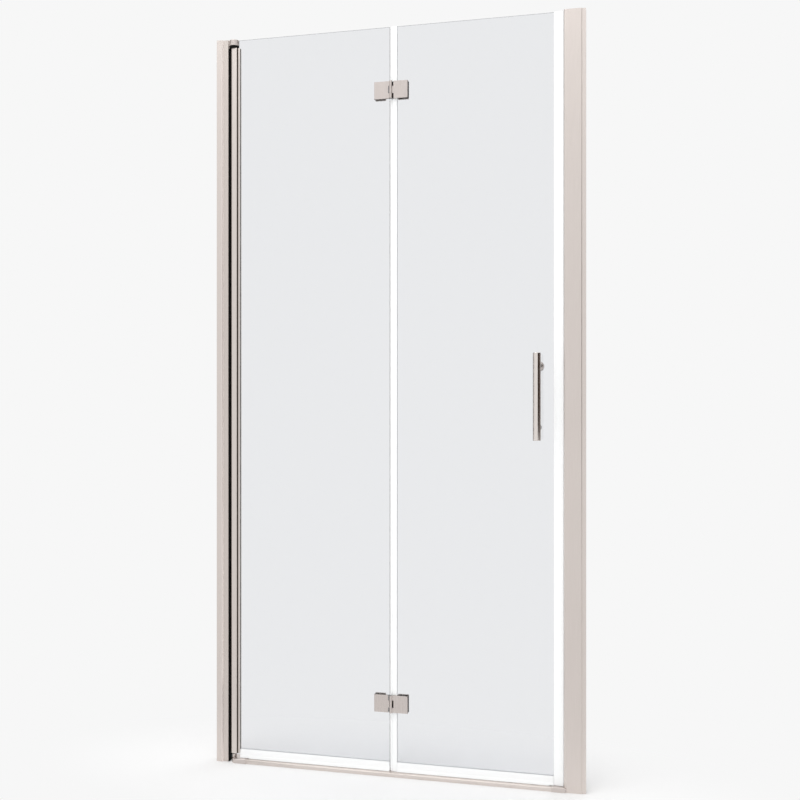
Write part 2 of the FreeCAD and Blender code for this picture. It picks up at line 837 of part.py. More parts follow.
def hinge_gaskets(side):
    """Thin pads on both faces of the glass; the fold panel's outer ones have a flap behind the knuckles."""
    relief_x = fold_x + side * hinge_relief
    near = relief_x + side * hinge_gasket_inset
    far = plate_far_x(side) - side * hinge_gasket_inset
    half_height = hinge_height / 2 - hinge_gasket_inset
    holes = [hinge_screw(x, z, press_fit) for x, z in hinge_screw_places(side)]
    pads = []
    for z in hinge_places():
        for face in (-1, 1):
            y_limits = sorted((face * glass_half, face * plate_inner))
            pad = block(sorted((near, far)), y_limits, (z - half_height, z + half_height))
            if side == FOLD_SIDE and face == -1:
                pad = upright(flap_pad_outline(relief_x, far), z - half_height, z + half_height)
            pads.append(pad.cut(holes))
    return Part.makeCompound(pads)


def flap_pad_outline(relief_x, far):
    """Pad under the fold panel's outer plate, whose flap lines the hollow and covers the fold."""
    flap_x = fold_x - hinge_plate_offset + hinge_gasket_inset
    flap_back = -plate_hollow + hinge_flap
    web_x = relief_x - hinge_flap
    return [
        (flap_x, -plate_hollow),
        (relief_x, -plate_hollow),
        (relief_x, -plate_inner),
        (far, -plate_inner),
        (far, -glass_half),
        (web_x, -glass_half),
        (web_x, flap_back),
        (flap_x, flap_back),
    ]


# Fold panel
def glass_fold_panel():
    holes = [pane_hole(x, z, hinge_glass_hole_radius) for x, z in hinge_screw_places(FOLD_SIDE)]
    sleeve_hole = handle_sleeve_radius + handle_hole_fit
    holes += [pane_hole(handle_x, z, sleeve_hole) for z in (lower_post_z, upper_post_z)]
    return pane(glass_b_left, glass_b_right, holes)


def fold_seal():
    """Clip and hollow bulb on the fold panel's hinge edge, in one length behind the hinge plates."""
    base_x = glass_b_left - seal_wall
    grip_x = glass_b_left + fold_seal_grip
    half = [(grip_x, glass_half), (grip_x, seal_half), (base_x, seal_half, seal_wall)]
    slot = block((glass_b_left, grip_x + PAST), (-glass_half, glass_half), (-PAST, overall_height))
    clip = upright(mirrored(half), fin_bottom, glass_top).cut(slot)
    bulb_x = base_x + fold_bulb_root - fold_bulb_radius
    length = glass_top - fin_bottom
    bulb = rod(fold_bulb_radius, V(bulb_x, 0, fin_bottom), ALONG_Z, length)
    hollow_start = V(bulb_x, 0, fin_bottom - PAST)
    hollow = rod(fold_bulb_radius - fold_bulb_wall, hollow_start, ALONG_Z, length + 2 * PAST)
    return clip.fuse(bulb).removeSplitter().cut(hollow)


def edge_magnet_seal():
    """Clip on the closing edge of the fold panel, with a chamber for the magnet strip."""
    grip_x = glass_b_right - edge_seal_grip
    half = [
        (grip_x, seal_half, seal_wall / 2),
        (glass_b_right, seal_half),
        (glass_b_right, edge_half),
        (edge_seal_right, edge_half, edge_round),
    ]
    seal = upright(mirrored(half), seal_bottom, glass_top)
    slot = block((grip_x - PAST, glass_b_right), (-glass_half, glass_half), (-PAST, overall_height))
    x_range, inner = edge_magnet_section(magnet_fit)
    chamber = block(x_range, (-inner, inner), (seal_bottom + magnet_end, glass_top - magnet_end))
    return seal.cut([slot, chamber])


def edge_magnet_section(grow):
    """X limits and half width of the magnet in the edge seal."""
    x_range = (glass_b_right + seal_wall - grow, edge_seal_right - seal_wall + grow)
    return x_range, edge_half - seal_wall + grow


def edge_magnet():
    x_range, half_width = edge_magnet_section(0)
    ends = magnet_end + magnet_fit
    return block(x_range, (-half_width, half_width), (seal_bottom + ends, glass_top - ends))


def bottom_seal_fold_panel():
    left = glass_b_left + fold_seal_grip + seal_end_gap
    right = glass_b_right - edge_seal_grip - seal_end_gap
    notch_start = strike_x - rail_end_length_strike - fin_notch
    return bottom_seal(left, right, (notch_start, right + PAST))


# Handle
def handle_bar():
    """Round bar with a blind hole for the spigot of each post."""
    bar_low = handle_z - handle_length / 2
    bar_high = handle_z + handle_length / 2
    bar = rod(handle_radius, V(handle_x, handle_y, bar_low), ALONG_Z, handle_length)
    bar = bar.makeChamfer(handle_bevel, edges_at_height(bar, bar_low) + edges_at_height(bar, bar_high))
    socket_radius = handle_spigot_radius + press_fit
    socket_length = handle_spigot_seat + PAST
    sockets = [
        rod(socket_radius, V(handle_x, spigot_floor_y, z), ALONG_Y, socket_length)
        for z in (lower_post_z, upper_post_z)
    ]
    return bar.cut(sockets)


def handle_posts():
    """Posts between glass and bar: a foot threaded for its stud, a saddle end and a spigot into the bar."""
    saddle_radius = handle_radius + press_fit
    saddle = rod(saddle_radius, V(handle_x, handle_y, handle_z - handle_length), ALONG_Z, 2 * handle_length)
    spigot_length = -handle_foot - spigot_floor_y - press_fit
    posts = []
    for z in (lower_post_z, upper_post_z):
        column = rod(handle_post_radius, V(handle_x, -handle_foot, z), OUTWARD, -handle_foot - handle_y)
        spigot = rod(handle_spigot_radius, V(handle_x, -handle_foot, z), OUTWARD, spigot_length)
        thread = rod(handle_stud_radius + press_fit, V(handle_x, -handle_foot, z), OUTWARD, handle_stud_seat)
        posts.append(column.cut(saddle).fuse(spigot).removeSplitter().cut(thread))
    return Part.makeCompound(posts)


def handle_washers():
    """Soft washers under the posts outside and under the knob and cap inside."""
    washers = []
    for z in (lower_post_z, upper_post_z):
        for y in (-handle_foot, glass_half):
            disc = rod(handle_washer_radius, V(handle_x, y, z), ALONG_Y, handle_washer)
            hole_start = V(handle_x, y - PAST, z)
            hole = rod(handle_stud_radius + press_fit, hole_start, ALONG_Y, handle_washer + 2 * PAST)
            washers.append(disc.cut(hole))
    return Part.makeCompound(washers)


def handle_sleeves():
    """Plastic sleeves that keep the studs off the glass."""
    sleeves = []
    for z in (lower_post_z, upper_post_z):
        tube = rod(handle_sleeve_radius, V(handle_x, -glass_half, z), ALONG_Y, glass_thickness)
        sleeves.append(tube.cut(pane_hole(handle_x, z, handle_stud_radius + press_fit)))
    return Part.makeCompound(sleeves)


def handle_studs():
    """Studs through the glass that draw the posts to the knob and the cap."""
    studs = []
    for z, depth in ((lower_post_z, cap_stud_depth), (upper_post_z, knob_stud_depth)):
        low = -handle_foot - handle_stud_seat
        studs.append(rod(handle_stud_radius, V(handle_x, low, z), ALONG_Y, handle_foot + depth - low))
    return Part.makeCompound(studs)


def stud_bore(z, depth):
    """Blind hole for a stud in a piece that stands on its washer inside."""
    return rod(handle_stud_radius + press_fit, V(handle_x, handle_foot - PAST, z), ALONG_Y, depth + PAST)


def inside_knob():
    """Turned knob on the upper stud: a neck and a bevelled head."""
    foot = handle_foot
    tip = foot + knob_length
    neck_end = foot + knob_neck
    profile = [
        (0, foot),
        (knob_neck_radius, foot),
        (knob_neck_radius, neck_end),
        (knob_radius, neck_end + knob_flare),
        (knob_radius, tip - knob_bevel),
        (knob_radius - knob_bevel, tip),
        (0, tip),
    ]
    return turned(profile, handle_x, upper_post_z).cut(stud_bore(upper_post_z, knob_stud_depth))


def inside_cap():
    """Low round cap on the lower stud."""
    foot = handle_foot
    tip = foot + cap_length
    profile = [
        (0, foot),
        (cap_radius, foot),
        (cap_radius, tip - cap_bevel),
        (cap_radius - cap_bevel, tip),
        (0, tip),
    ]
    return turned(profile, handle_x, lower_post_z).cut(stud_bore(lower_post_z, cap_stud_depth))


def nodes():
    """Every piece of the door under its node name."""
    hinge_seat = hinge_channel_half
    return {
        "wall_channel_hinge_side": wall_channel_hinge_side(),
        "hinge_jamb": hinge_jamb(),
        "jamb_screws_hinge_side": jamb_screws(hinge_jamb_screw_x, hinge_seat),
        "screw_caps_hinge_side": screw_caps(hinge_jamb_screw_x, hinge_seat),
        "gap_seal": gap_seal(),
        "top_pivot_block": top_pivot_block(),
        "top_block_screw": top_block_screw(),
        "top_pivot_pin": top_pivot_pin(),
        "bottom_pivot_pin": bottom_pivot_pin(),
        "threshold_rail": threshold_rail(),
        "rail_end_hinge_side": rail_end_hinge_side(),
        "rail_end_strike_side": rail_end_strike_side(),
        "wall_channel_strike_side": wall_channel_strike_side(),
        "strike_jamb": strike_jamb(),
        "jamb_screws_strike_side": jamb_screws(strike_jamb_screw_x, strike_jamb_half),
        "screw_caps_strike_side": screw_caps(strike_jamb_screw_x, strike_jamb_half),
        "strike_magnet_holder": strike_magnet_holder(),
        "strike_magnet": strike_magnet(),
        "pivot_post": pivot_post(),
        "top_bush": top_bush(),
        "bottom_bush": bottom_bush(),
        "glazing_gasket": glazing_gasket(),
        "glass_pivot_panel": glass_pivot_panel(),
        "bottom_seal_pivot_panel": bottom_seal_pivot_panel(),
        "upper_hinge_leaf_pivot_panel": carrier_leaf(PIVOT_SIDE, upper_hinge_z),
        "upper_hinge_clamp_pivot_panel": hinge_clamp_plate(PIVOT_SIDE, upper_hinge_z),
        "upper_hinge_pin": hinge_pin(upper_hinge_z),
        "lower_hinge_leaf_pivot_panel": turning_leaf(PIVOT_SIDE, lower_hinge_z),
        "lower_hinge_clamp_pivot_panel": hinge_clamp_plate(PIVOT_SIDE, lower_hinge_z),
        "hinge_gaskets_pivot_panel": hinge_gaskets(PIVOT_SIDE),
        "hinge_screws_pivot_panel": hinge_screws(PIVOT_SIDE),
        "glass_fold_panel": glass_fold_panel(),
        "fold_seal": fold_seal(),
        "edge_magnet_seal": edge_magnet_seal(),
        "edge_magnet": edge_magnet(),
        "bottom_seal_fold_panel": bottom_seal_fold_panel(),
        "upper_hinge_leaf_fold_panel": turning_leaf(FOLD_SIDE, upper_hinge_z),
        "upper_hinge_clamp_fold_panel": hinge_clamp_plate(FOLD_SIDE, upper_hinge_z),
        "lower_hinge_leaf_fold_panel": carrier_leaf(FOLD_SIDE, lower_hinge_z),
        "lower_hinge_clamp_fold_panel": hinge_clamp_plate(FOLD_SIDE, lower_hinge_z),
        "lower_hinge_pin": hinge_pin(lower_hinge_z),
        "hinge_gaskets_fold_panel": hinge_gaskets(FOLD_SIDE),
        "hinge_screws_fold_panel": hinge_screws(FOLD_SIDE),
        "handle_bar": handle_bar(),
        "handle_posts": handle_posts(),
        "handle_washers": handle_washers(),
        "handle_sleeves": handle_sleeves(),
        "handle_studs": handle_studs(),
        "inside_knob": inside_knob(),
        "inside_cap": inside_cap(),
    }


os.makedirs("parts", exist_ok=True)
for name, shape in nodes().items():
    shape.exportStep(f"parts/{name}.step")
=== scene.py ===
import json
import math

import bmesh
import bpy
from mathutils import Matrix, Vector

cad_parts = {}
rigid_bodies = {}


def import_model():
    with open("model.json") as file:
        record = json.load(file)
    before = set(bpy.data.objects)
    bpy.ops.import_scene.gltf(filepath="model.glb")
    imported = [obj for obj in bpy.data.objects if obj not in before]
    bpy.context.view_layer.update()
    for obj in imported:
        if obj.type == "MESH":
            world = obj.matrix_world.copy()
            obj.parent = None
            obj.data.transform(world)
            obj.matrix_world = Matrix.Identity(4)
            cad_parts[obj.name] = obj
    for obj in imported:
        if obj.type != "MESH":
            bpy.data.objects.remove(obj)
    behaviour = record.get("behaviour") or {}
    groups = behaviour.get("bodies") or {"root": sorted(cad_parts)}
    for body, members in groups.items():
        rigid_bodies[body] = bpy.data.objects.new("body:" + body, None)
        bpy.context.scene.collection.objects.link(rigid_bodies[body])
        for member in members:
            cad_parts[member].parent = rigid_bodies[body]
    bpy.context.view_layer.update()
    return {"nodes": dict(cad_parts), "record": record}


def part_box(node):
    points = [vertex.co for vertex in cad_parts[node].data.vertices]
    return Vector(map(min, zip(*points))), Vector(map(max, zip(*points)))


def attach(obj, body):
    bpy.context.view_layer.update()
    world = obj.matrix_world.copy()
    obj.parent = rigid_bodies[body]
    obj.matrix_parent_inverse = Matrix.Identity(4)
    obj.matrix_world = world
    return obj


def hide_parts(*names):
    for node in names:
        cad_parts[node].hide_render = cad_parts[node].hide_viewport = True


bl_info = {
    "name": "Folding pivot shower door",
    "version": (1, 0, 0),
    "blender": (4, 5, 0),
    "location": "3D View > Sidebar > Shower Door",
    "description": "Dresses the packed door with its finishes and hardware, and sets up its studio",
    "category": "Object",
}

for leftover in list(bpy.data.objects):
    bpy.data.objects.remove(leftover)
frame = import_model()
MM = 0.001
BODY_OF = {node: body for body, nodes in frame["record"]["behaviour"]["bodies"].items() for node in nodes}


def linear(code):
    """An sRGB hex colour as linear red, green and blue."""
    channels = [int(code[i : i + 2], 16) / 255 for i in (1, 3, 5)]
    return tuple(c / 12.92 if c <= 0.04045 else ((c + 0.055) / 1.055) ** 2.4 for c in channels)


def opaque(colour):
    """A colour with full alpha, as a node's socket takes it."""
    return (*colour, 1.0)


# Settings that a user would change
class DoorFinish(bpy.types.PropertyGroup):
    """Colours of the materials, and the grain of the brushed metal"""

    nickel: bpy.props.FloatVectorProperty(
        name="Satin nickel",
        description="Colour of the anodised sections",
        subtype="COLOR",
        default=linear("#E2D9D4"),
        min=0,
        max=1,
    )
    nickel_dull: bpy.props.FloatVectorProperty(
        name="Satin nickel, dull streaks",
        description="Colour in the hollows of the brushed grain",
        subtype="COLOR",
        default=linear("#D9D0CA"),
        min=0,
        max=1,
    )
    nickel_deep: bpy.props.FloatVectorProperty(
        name="Satin nickel, deeper",
        description="Colour of the hinge jamb, whose anodising is a shade deeper",
        subtype="COLOR",
        default=linear("#D8CFC9"),
        min=0,
        max=1,
    )
    plate: bpy.props.FloatVectorProperty(
        name="Plated zinc",
        description="Colour of the hinge plates and end blocks",
        subtype="COLOR",
        default=linear("#D8CFCB"),
        min=0,
        max=1,
    )
    plate_dull: bpy.props.FloatVectorProperty(
        name="Plated zinc, dull streaks",
        description="Colour in the hollows of the plates' grain",
        subtype="COLOR",
        default=linear("#CFC6C1"),
        min=0,
        max=1,
    )
    polished: bpy.props.FloatVectorProperty(
        name="Polished nickel",
        description="Colour of the handle, knob and cap",
        subtype="COLOR",
        default=linear("#EAE3DE"),
        min=0,
        max=1,
    )
    glass: bpy.props.FloatVectorProperty(
        name="Glass tint",
        description="What one pane lets through",
        subtype="COLOR",
        default=linear("#F0F1F3"),
        min=0,
        max=1,
    )
    vinyl: bpy.props.FloatVectorProperty(
        name="White vinyl",
        description="Colour of the seals",
        subtype="COLOR",
        default=linear("#FBFCFC"),
        min=0,
        max=1,
    )
    black: bpy.props.FloatVectorProperty(
        name="Black nylon and rubber",
        description="Colour of the bushes, gaskets and wiper strip",
        subtype="COLOR",
        default=linear("#0A0908"),
        min=0,
        max=1,
    )
    grain: bpy.props.FloatProperty(
        name="Brush grain",
        description="Spacing of the brushed lines as drawn",
        unit="LENGTH",
        default=1.2 * MM,
        min=0.1 * MM,
    )


class DoorHardware(bpy.types.PropertyGroup):
    """Sizes of the small forms on the hinges and the handle"""

    edge_softness: bpy.props.FloatProperty(
        name="Edge softness",
        description="Rounding of the hinge plates and blocks",
        unit="LENGTH",
        default=0.45 * MM,
        min=0,
    )
    bar_round: bpy.props.FloatProperty(
        name="Bar end rounding",
        description="Rounding of the ends of the pull bar",
        unit="LENGTH",
        default=1.0 * MM,
        min=0,
    )
    socket_width: bpy.props.FloatProperty(
        name="Screw socket",
        description="Width across the flats of the hinge screws' sockets",
        unit="LENGTH",
        default=3.0 * MM,
        min=0.5 * MM,
    )
    socket_depth: bpy.props.FloatProperty(
        name="Socket depth",
        description="Depth of the hinge screws' sockets",
        unit="LENGTH",
        default=1.8 * MM,
        min=0.2 * MM,
    )


class DoorStudio(bpy.types.PropertyGroup):
    """The backdrop, the light and the camera"""

    backdrop: bpy.props.FloatVectorProperty(
        name="Backdrop",
        description="Colour of the plain background",
        subtype="COLOR",
        default=linear("#F7F7F7"),
        min=0,
        max=1,
    )
    ambient: bpy.props.FloatProperty(
        name="Ambient light",
        description="Strength of the even light from all round",
        default=0.77,
        min=0,
    )
    drape_distance: bpy.props.FloatProperty(
        name="Drape distance",
        description="How far the black drapes hang from the middle of the door",
        unit="LENGTH",
        default=3.0,
        min=1,
    )
    lens: bpy.props.FloatProperty(
        name="Lens",
        description="Focal length on a 36 mm sensor",
        unit="CAMERA",
        default=42.4,
        min=1,
    )
    camera_place: bpy.props.FloatVectorProperty(
        name="Camera place",
        description="Where the camera stands",
        subtype="TRANSLATION",
        unit="LENGTH",
        default=(0.5236, -2.2426, 0.9165),
    )
    camera_turn: bpy.props.FloatProperty(
        name="Camera turn",
        description="How far the level camera turns towards the hinge wall",
        subtype="ANGLE",
        default=math.radians(12.8),
    )


# Materials
def add(tree, kind, values=None, links=None, **settings):
    """One node: settings are its properties, values its sockets' values, links what feeds its sockets."""
    node = tree.nodes.new(kind)
    for name, value in settings.items():
        setattr(node, name, value)
    for socket, value in (values or {}).items():
        node.inputs[socket].default_value = value
    for socket, source in (links or {}).items():
        tree.links.new(source, node.inputs[socket])
    return node


def finish_of(name, build):
    """The material of that name, built on first use."""
    material = bpy.data.materials.get(name)
    if material is None:
        material = bpy.data.materials.new(name)
        material.use_nodes = True
        material.node_tree.nodes.clear()
        build(material.node_tree)
    return material


# Wiped patches on brushed metal, and the depth of its lines
PATCH_WIDTH = 120 * MM
LINE_DEPTH = 0.006 * MM
# Where one noise stays for the most part, and where two added up do
NOISE = (0.3, 0.7)
NOISE_SUM = (0.6, 1.4)


def brushed(tree, colour, dull, stretch, roughness, spread, marks=(), edge="#FFFFFF"):
    """Satin metal: fine lines along one axis that break the reflection up, and faint wiped patches.

    Marks are upright strips of another colour, which carry painted light and shade. The edge colour tints
    what the metal mirrors where it turns away.
    """
    grain = bpy.context.scene.door_finish.grain
    place = add(tree, "ShaderNodeTexCoord").outputs["Object"]
    # Real lines are about 0.2 mm apart, too fine to show, so they are drawn at the grain setting
    scale = [1 / grain / factor for factor in stretch]
    lines_at = add(tree, "ShaderNodeMapping", {"Scale": scale}, {"Vector": place})
    lines = add(tree, "ShaderNodeTexNoise", {"Scale": 1.0, "Detail": 2.0}, {"Vector": lines_at.outputs[0]})
    patches = add(tree, "ShaderNodeTexNoise", {"Scale": 1 / PATCH_WIDTH, "Detail": 1.0}, {"Vector": place})
    tone = add(
        tree,
        "ShaderNodeMix",
        {"A": opaque(dull), "B": opaque(colour)},
        {"Factor": lines.outputs["Fac"]},
        data_type="RGBA",
    )
    for code, *strip in marks:
        tone = add(
            tree,
            "ShaderNodeMix",
            {"B": opaque(linear(code))},
            {"Factor": inside(tree, place, *strip), "A": tone.outputs["Result"]},
            data_type="RGBA",
        )
    both = add(
        tree,
        "ShaderNodeMath",
        links={0: lines.outputs["Fac"], 1: patches.outputs["Fac"]},
        operation="ADD",
    )
    rough = add(
        tree,
        "ShaderNodeMapRange",
        {
            "From Min": NOISE_SUM[0],
            "From Max": NOISE_SUM[1],
            "To Min": roughness - spread,
            "To Max": roughness + spread,
        },
        {"Value": both.outputs[0]},
    )
    bump = add(
        tree,
        "ShaderNodeBump",
        {"Strength": 0.3, "Distance": LINE_DEPTH},
        {"Height": lines.outputs["Fac"]},
    )
    shader = add(
        tree,
        "ShaderNodeBsdfPrincipled",
        {"Metallic": 1.0, "Specular Tint": opaque(linear(edge))},
        {
            "Base Color": tone.outputs["Result"],
            "Roughness": rough.outputs[0],
            "Normal": bump.outputs[0],
        },
    )
    add(tree, "ShaderNodeOutputMaterial", links={"Surface": shader.outputs[0]})


def inside(tree, place, middle, half_width, half_depth):
    """1 in an upright strip about a place on X, up to a distance from the middle plane of the glass."""
    at = add(tree, "ShaderNodeSeparateXYZ", links={0: place}).outputs
    across = add(tree, "ShaderNodeMath", {1: middle, 2: half_width}, {0: at["X"]}, operation="COMPARE")
    deep = add(tree, "ShaderNodeMath", {1: 0, 2: half_depth}, {0: at["Y"]}, operation="COMPARE")
    both = add(
        tree,
        "ShaderNodeMath",
        links={0: across.outputs[0], 1: deep.outputs[0]},
        operation="MULTIPLY",
    )
    return both.outputs[0]


# How far the lines are drawn out along each axis
ALONG_X = (50, 1, 1)
ALONG_Z = (1, 1, 50)
ALL_WAYS = (1, 1, 1)
# Roughness, and how far it varies
SATIN = (0.36, 0.05)
PLATE_SATIN = (0.3, 0.05)
CAP_SATIN = (0.26, 0.03)
POLISH = (0.16, 0.03)
# The dull streaks of the deeper anodising, as a share of its colour
DULL_SHARE = 0.93
# The post's grooves, painted dark as shade: from its round side to their middle, half their width, and from
# the glass to their mouth
GROOVE_OFFSET = 21.05 * MM
GROOVE_HALF = 1.3 * MM
GROOVE_MOUTH = 9.25 * MM
# Half the widths of the painted dark line on the post's round side, which stands for the shade and dark
# reflection of the gap beside the wiper strip, of the painted highlight on the channel's lip, and of the
# painted light on the jamb beside it, which lifts the shade of that corner
FLANK_SHADE_HALF = 3.2 * MM
LIP_HALF = 0.7 * MM
BESIDE_LIP_HALF = 0.7 * MM
# A strip's depth that takes in the whole piece
WHOLE_DEPTH = 1.0
# The painted shade on the edges of a hinge's plates beside its knuckles, which stands for the shade in the
# slits: from the pin's axis, half the line, and from the glass to just behind the front face
HINGE_EDGE = 6.2 * MM
HINGE_EDGE_HALF = 0.7 * MM
HINGE_FACE = 9.9 * MM


def anodised_upright(tree):
    """Anodised aluminium brushed upwards: satin, with upright lines that blur the reflection sideways."""
    finish = bpy.context.scene.door_finish
    brushed(tree, finish.nickel, finish.nickel_dull, ALONG_Z, *SATIN)


def anodised_deep(tree):
    """Anodised aluminium a shade deeper, with painted light in a strip beside the lip of its channel, which
    lifts the shade of the corner there.
    """
    finish = bpy.context.scene.door_finish
    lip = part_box("wall_channel_hinge_side")[1].x
    # A strip of painted light beside the lip, which lifts the shade in the corner
    wear_and_painted_light = ("#F8F0EC", lip + BESIDE_LIP_HALF, BESIDE_LIP_HALF, WHOLE_DEPTH)
    dull = [DULL_SHARE * c for c in finish.nickel_deep]
    brushed(tree, finish.nickel_deep, dull, ALONG_Z, *SATIN, [wear_and_painted_light])


def anodised_lip_highlighted(tree):
    """Anodised aluminium with a painted highlight along its lip, a bright line where the edge catches the
    light.
    """
    finish = bpy.context.scene.door_finish
    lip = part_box("wall_channel_hinge_side")[1].x
    # The bright strip on the lip is a painted highlight
    bright = ("#FFF8F4", lip - LIP_HALF / 2, LIP_HALF, WHOLE_DEPTH)
    brushed(tree, finish.nickel, finish.nickel_dull, ALONG_Z, *SATIN, [bright])


def anodised_painted_shade(tree):
    """Anodised aluminium with painted shade in its grooves, and a painted dark line on its round side for
    the shade and dark reflection of the gap beside the wiper.
    """
    finish = bpy.context.scene.door_finish
    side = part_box("pivot_post")[0].x
    # Painted shade in the grooves beside the clamp
    groove_shade = ("#746A60", side + GROOVE_OFFSET, GROOVE_HALF, GROOVE_MOUTH)
    # A painted dark line on the round side, for the shade and dark reflection of the gap beside the wiper
    # strip
    flank_shade = ("#7E746D", side + FLANK_SHADE_HALF, FLANK_SHADE_HALF, WHOLE_DEPTH)
    brushed(tree, finish.nickel, finish.nickel_dull, ALONG_Z, *SATIN, [groove_shade, flank_shade])


def anodised_lengthwise(tree):
    """Anodised aluminium brushed along the door: satin, with level lines that blur upright reflections."""
    finish = bpy.context.scene.door_finish
    brushed(tree, finish.nickel, finish.nickel_dull, ALONG_X, *SATIN)


def plated_zinc(tree):
    """Cast zinc, nickel plated and brushed upwards: satin, darker and glossier than the sections."""
    finish = bpy.context.scene.door_finish
    brushed(tree, finish.plate, finish.plate_dull, ALONG_Z, *PLATE_SATIN)


def plated_hinge_slit_shaded(tree):
    """Plated zinc brushed upwards, with its edges beside the knuckles painted dark as shade in the slits
    there.
    """
    finish = bpy.context.scene.door_finish
    low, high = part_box("upper_hinge_pin")
    middle = (low.x + high.x) / 2
    # Painted shade on the plates' edges beside the knuckles
    edges = [("#3A332E", middle + side * HINGE_EDGE, HINGE_EDGE_HALF, HINGE_FACE) for side in (-1, 1)]
    brushed(tree, finish.plate, finish.plate_dull, ALONG_Z, *PLATE_SATIN, edges)


def polished_nickel(tree):
    """Polished nickel plate: a clear reflection that darkens where the metal turns away."""
    finish = bpy.context.scene.door_finish
    brushed(tree, finish.polished, finish.nickel, ALONG_Z, *POLISH, edge="#000000")


def turned_stainless(tree):
    """Lathe-turned stainless steel: grey metal with a soft shine."""
    place = add(tree, "ShaderNodeTexCoord").outputs["Object"]
    # The rings of about 0.1 mm are too fine to show, so a mottle of about 3 mm stands for them
    mottle = add(tree, "ShaderNodeTexNoise", {"Scale": 1 / (3 * MM), "Detail": 2.0}, {"Vector": place})
    tone = add(
        tree,
        "ShaderNodeMix",
        {"A": opaque(linear("#B9B8B6")), "B": opaque(linear("#C9C8C6"))},
        {"Factor": mottle.outputs["Fac"]},
        data_type="RGBA",
    )
    shader = add(
        tree,
        "ShaderNodeBsdfPrincipled",
        {"Metallic": 1.0, "Roughness": 0.28},
        {"Base Color": tone.outputs["Result"]},
    )
    add(tree, "ShaderNodeOutputMaterial", links={"Surface": shader.outputs[0]})


def toughened_glass(tree):
    """Float glass, toughened, with polished edges: clear and faintly grey, with darker edges."""
    tint = opaque(bpy.context.scene.door_finish.glass)
    shader = add(
        tree,
        "ShaderNodeBsdfPrincipled",
        {"Base Color": tint, "Roughness": 0.0, "IOR": 1.52, "Transmission Weight": 1.0},
    )
    clear = add(tree, "ShaderNodeBsdfTransparent", {"Color": tint})
    ray = add(tree, "ShaderNodeLightPath")
    # Lamps shine through the panes, which would otherwise cast solid shadows
    both = add(
        tree,
        "ShaderNodeMixShader",
        links={0: ray.outputs["Is Shadow Ray"], 1: shader.outputs[0], 2: clear.outputs[0]},
    )
    add(tree, "ShaderNodeOutputMaterial", links={"Surface": both.outputs[0]})


def plain_polymer(tree, colour, wear_and_painted_light, grain_mm, roughness, spread, depth_mm, shine=0.5):
    """Moulded or extruded polymer: one colour with a fine texture that softens its shine."""
    place = add(tree, "ShaderNodeTexCoord").outputs["Object"]
    scale = 1 / (grain_mm * MM)
    texture = add(tree, "ShaderNodeTexNoise", {"Scale": scale, "Detail": 3.0}, {"Vector": place})
    tone = add(
        tree,
        "ShaderNodeMix",
        {"A": opaque(colour), "B": opaque(wear_and_painted_light)},
        {"Factor": texture.outputs["Fac"]},
        data_type="RGBA",
    )
    rough = add(
        tree,
        "ShaderNodeMapRange",
        {
            "From Min": NOISE[0],
            "From Max": NOISE[1],
            "To Min": roughness - spread,
            "To Max": roughness + spread,
        },
        {"Value": texture.outputs["Fac"]},
    )
    bump = add(
        tree,
        "ShaderNodeBump",
        {"Strength": 0.4, "Distance": depth_mm * MM},
        {"Height": texture.outputs["Fac"]},
    )
    shader = add(
        tree,
        "ShaderNodeBsdfPrincipled",
        {"IOR": 1.5, "Specular IOR Level": shine},
        {"Base Color": tone.outputs["Result"], "Roughness": rough.outputs[0], "Normal": bump.outputs[0]},
    )
    add(tree, "ShaderNodeOutputMaterial", links={"Surface": shader.outputs[0]})


def white_vinyl(tree):
    """Soft extruded vinyl: white, with a low even shine."""
    colour = bpy.context.scene.door_finish.vinyl
    wear_and_painted_light = [0.985 * c for c in colour]
    plain_polymer(tree, colour, wear_and_painted_light, grain_mm=4.0, roughness=0.4, spread=0.06, depth_mm=0.02)


def grey_vinyl(tree):
    """Soft extruded vinyl: mid grey, with a low even shine."""
    colour, wear_and_painted_light = linear("#989692"), linear("#908E89")
    plain_polymer(tree, colour, wear_and_painted_light, grain_mm=4.0, roughness=0.45, spread=0.06, depth_mm=0.02)


def black_nylon(tree):
    """Moulded nylon: black with a spark-eroded grain that shines a little."""
    colour = bpy.context.scene.door_finish.black
    wear_and_painted_light = [1.6 * c for c in colour]
    plain_polymer(tree, colour, wear_and_painted_light, grain_mm=0.5, roughness=0.5, spread=0.08, depth_mm=0.02, shine=0.08)


def black_rubber(tree):
    """Extruded rubber: black and dull, with a dusty bloom."""
    colour = bpy.context.scene.door_finish.black
    wear_and_painted_light = [1.9 * c for c in colour]
    plain_polymer(tree, colour, wear_and_painted_light, grain_mm=1.5, roughness=0.72, spread=0.08, depth_mm=0.03, shine=0.1)


def clear_vinyl(tree):
    """Cast vinyl sheet: cloudy, nearly clear."""
    shader = add(
        tree,
        "ShaderNodeBsdfPrincipled",
        {
            "Base Color": opaque(linear("#E8EBEA")),
            "Roughness": 0.3,
            "IOR": 1.5,
            "Transmission Weight": 0.7,
        },
    )
    add(tree, "ShaderNodeOutputMaterial", links={"Surface": shader.outputs[0]})


def plated_cap(tree):
    """Moulded ABS, nickel plated: a soft shine with no lines in it."""
    finish = bpy.context.scene.door_finish
    brushed(tree, finish.nickel, finish.nickel_dull, ALL_WAYS, *CAP_SATIN)


def ferrite_strip(tree):
    """Flexible magnet strip: ferrite powder in rubber, brown black and dull."""
    colour, wear_and_painted_light = linear("#2E2825"), linear("#3A322E")
    plain_polymer(tree, colour, wear_and_painted_light, grain_mm=0.8, roughness=0.75, spread=0.06, depth_mm=0.01)


def dress(nodes, name, build):
    """Gives CAD nodes a finish in place of their plain one."""
    material = finish_of(name, build)
    for node in nodes:
        mesh = frame["nodes"][node].data
        mesh.materials.clear()
        mesh.materials.append(material)


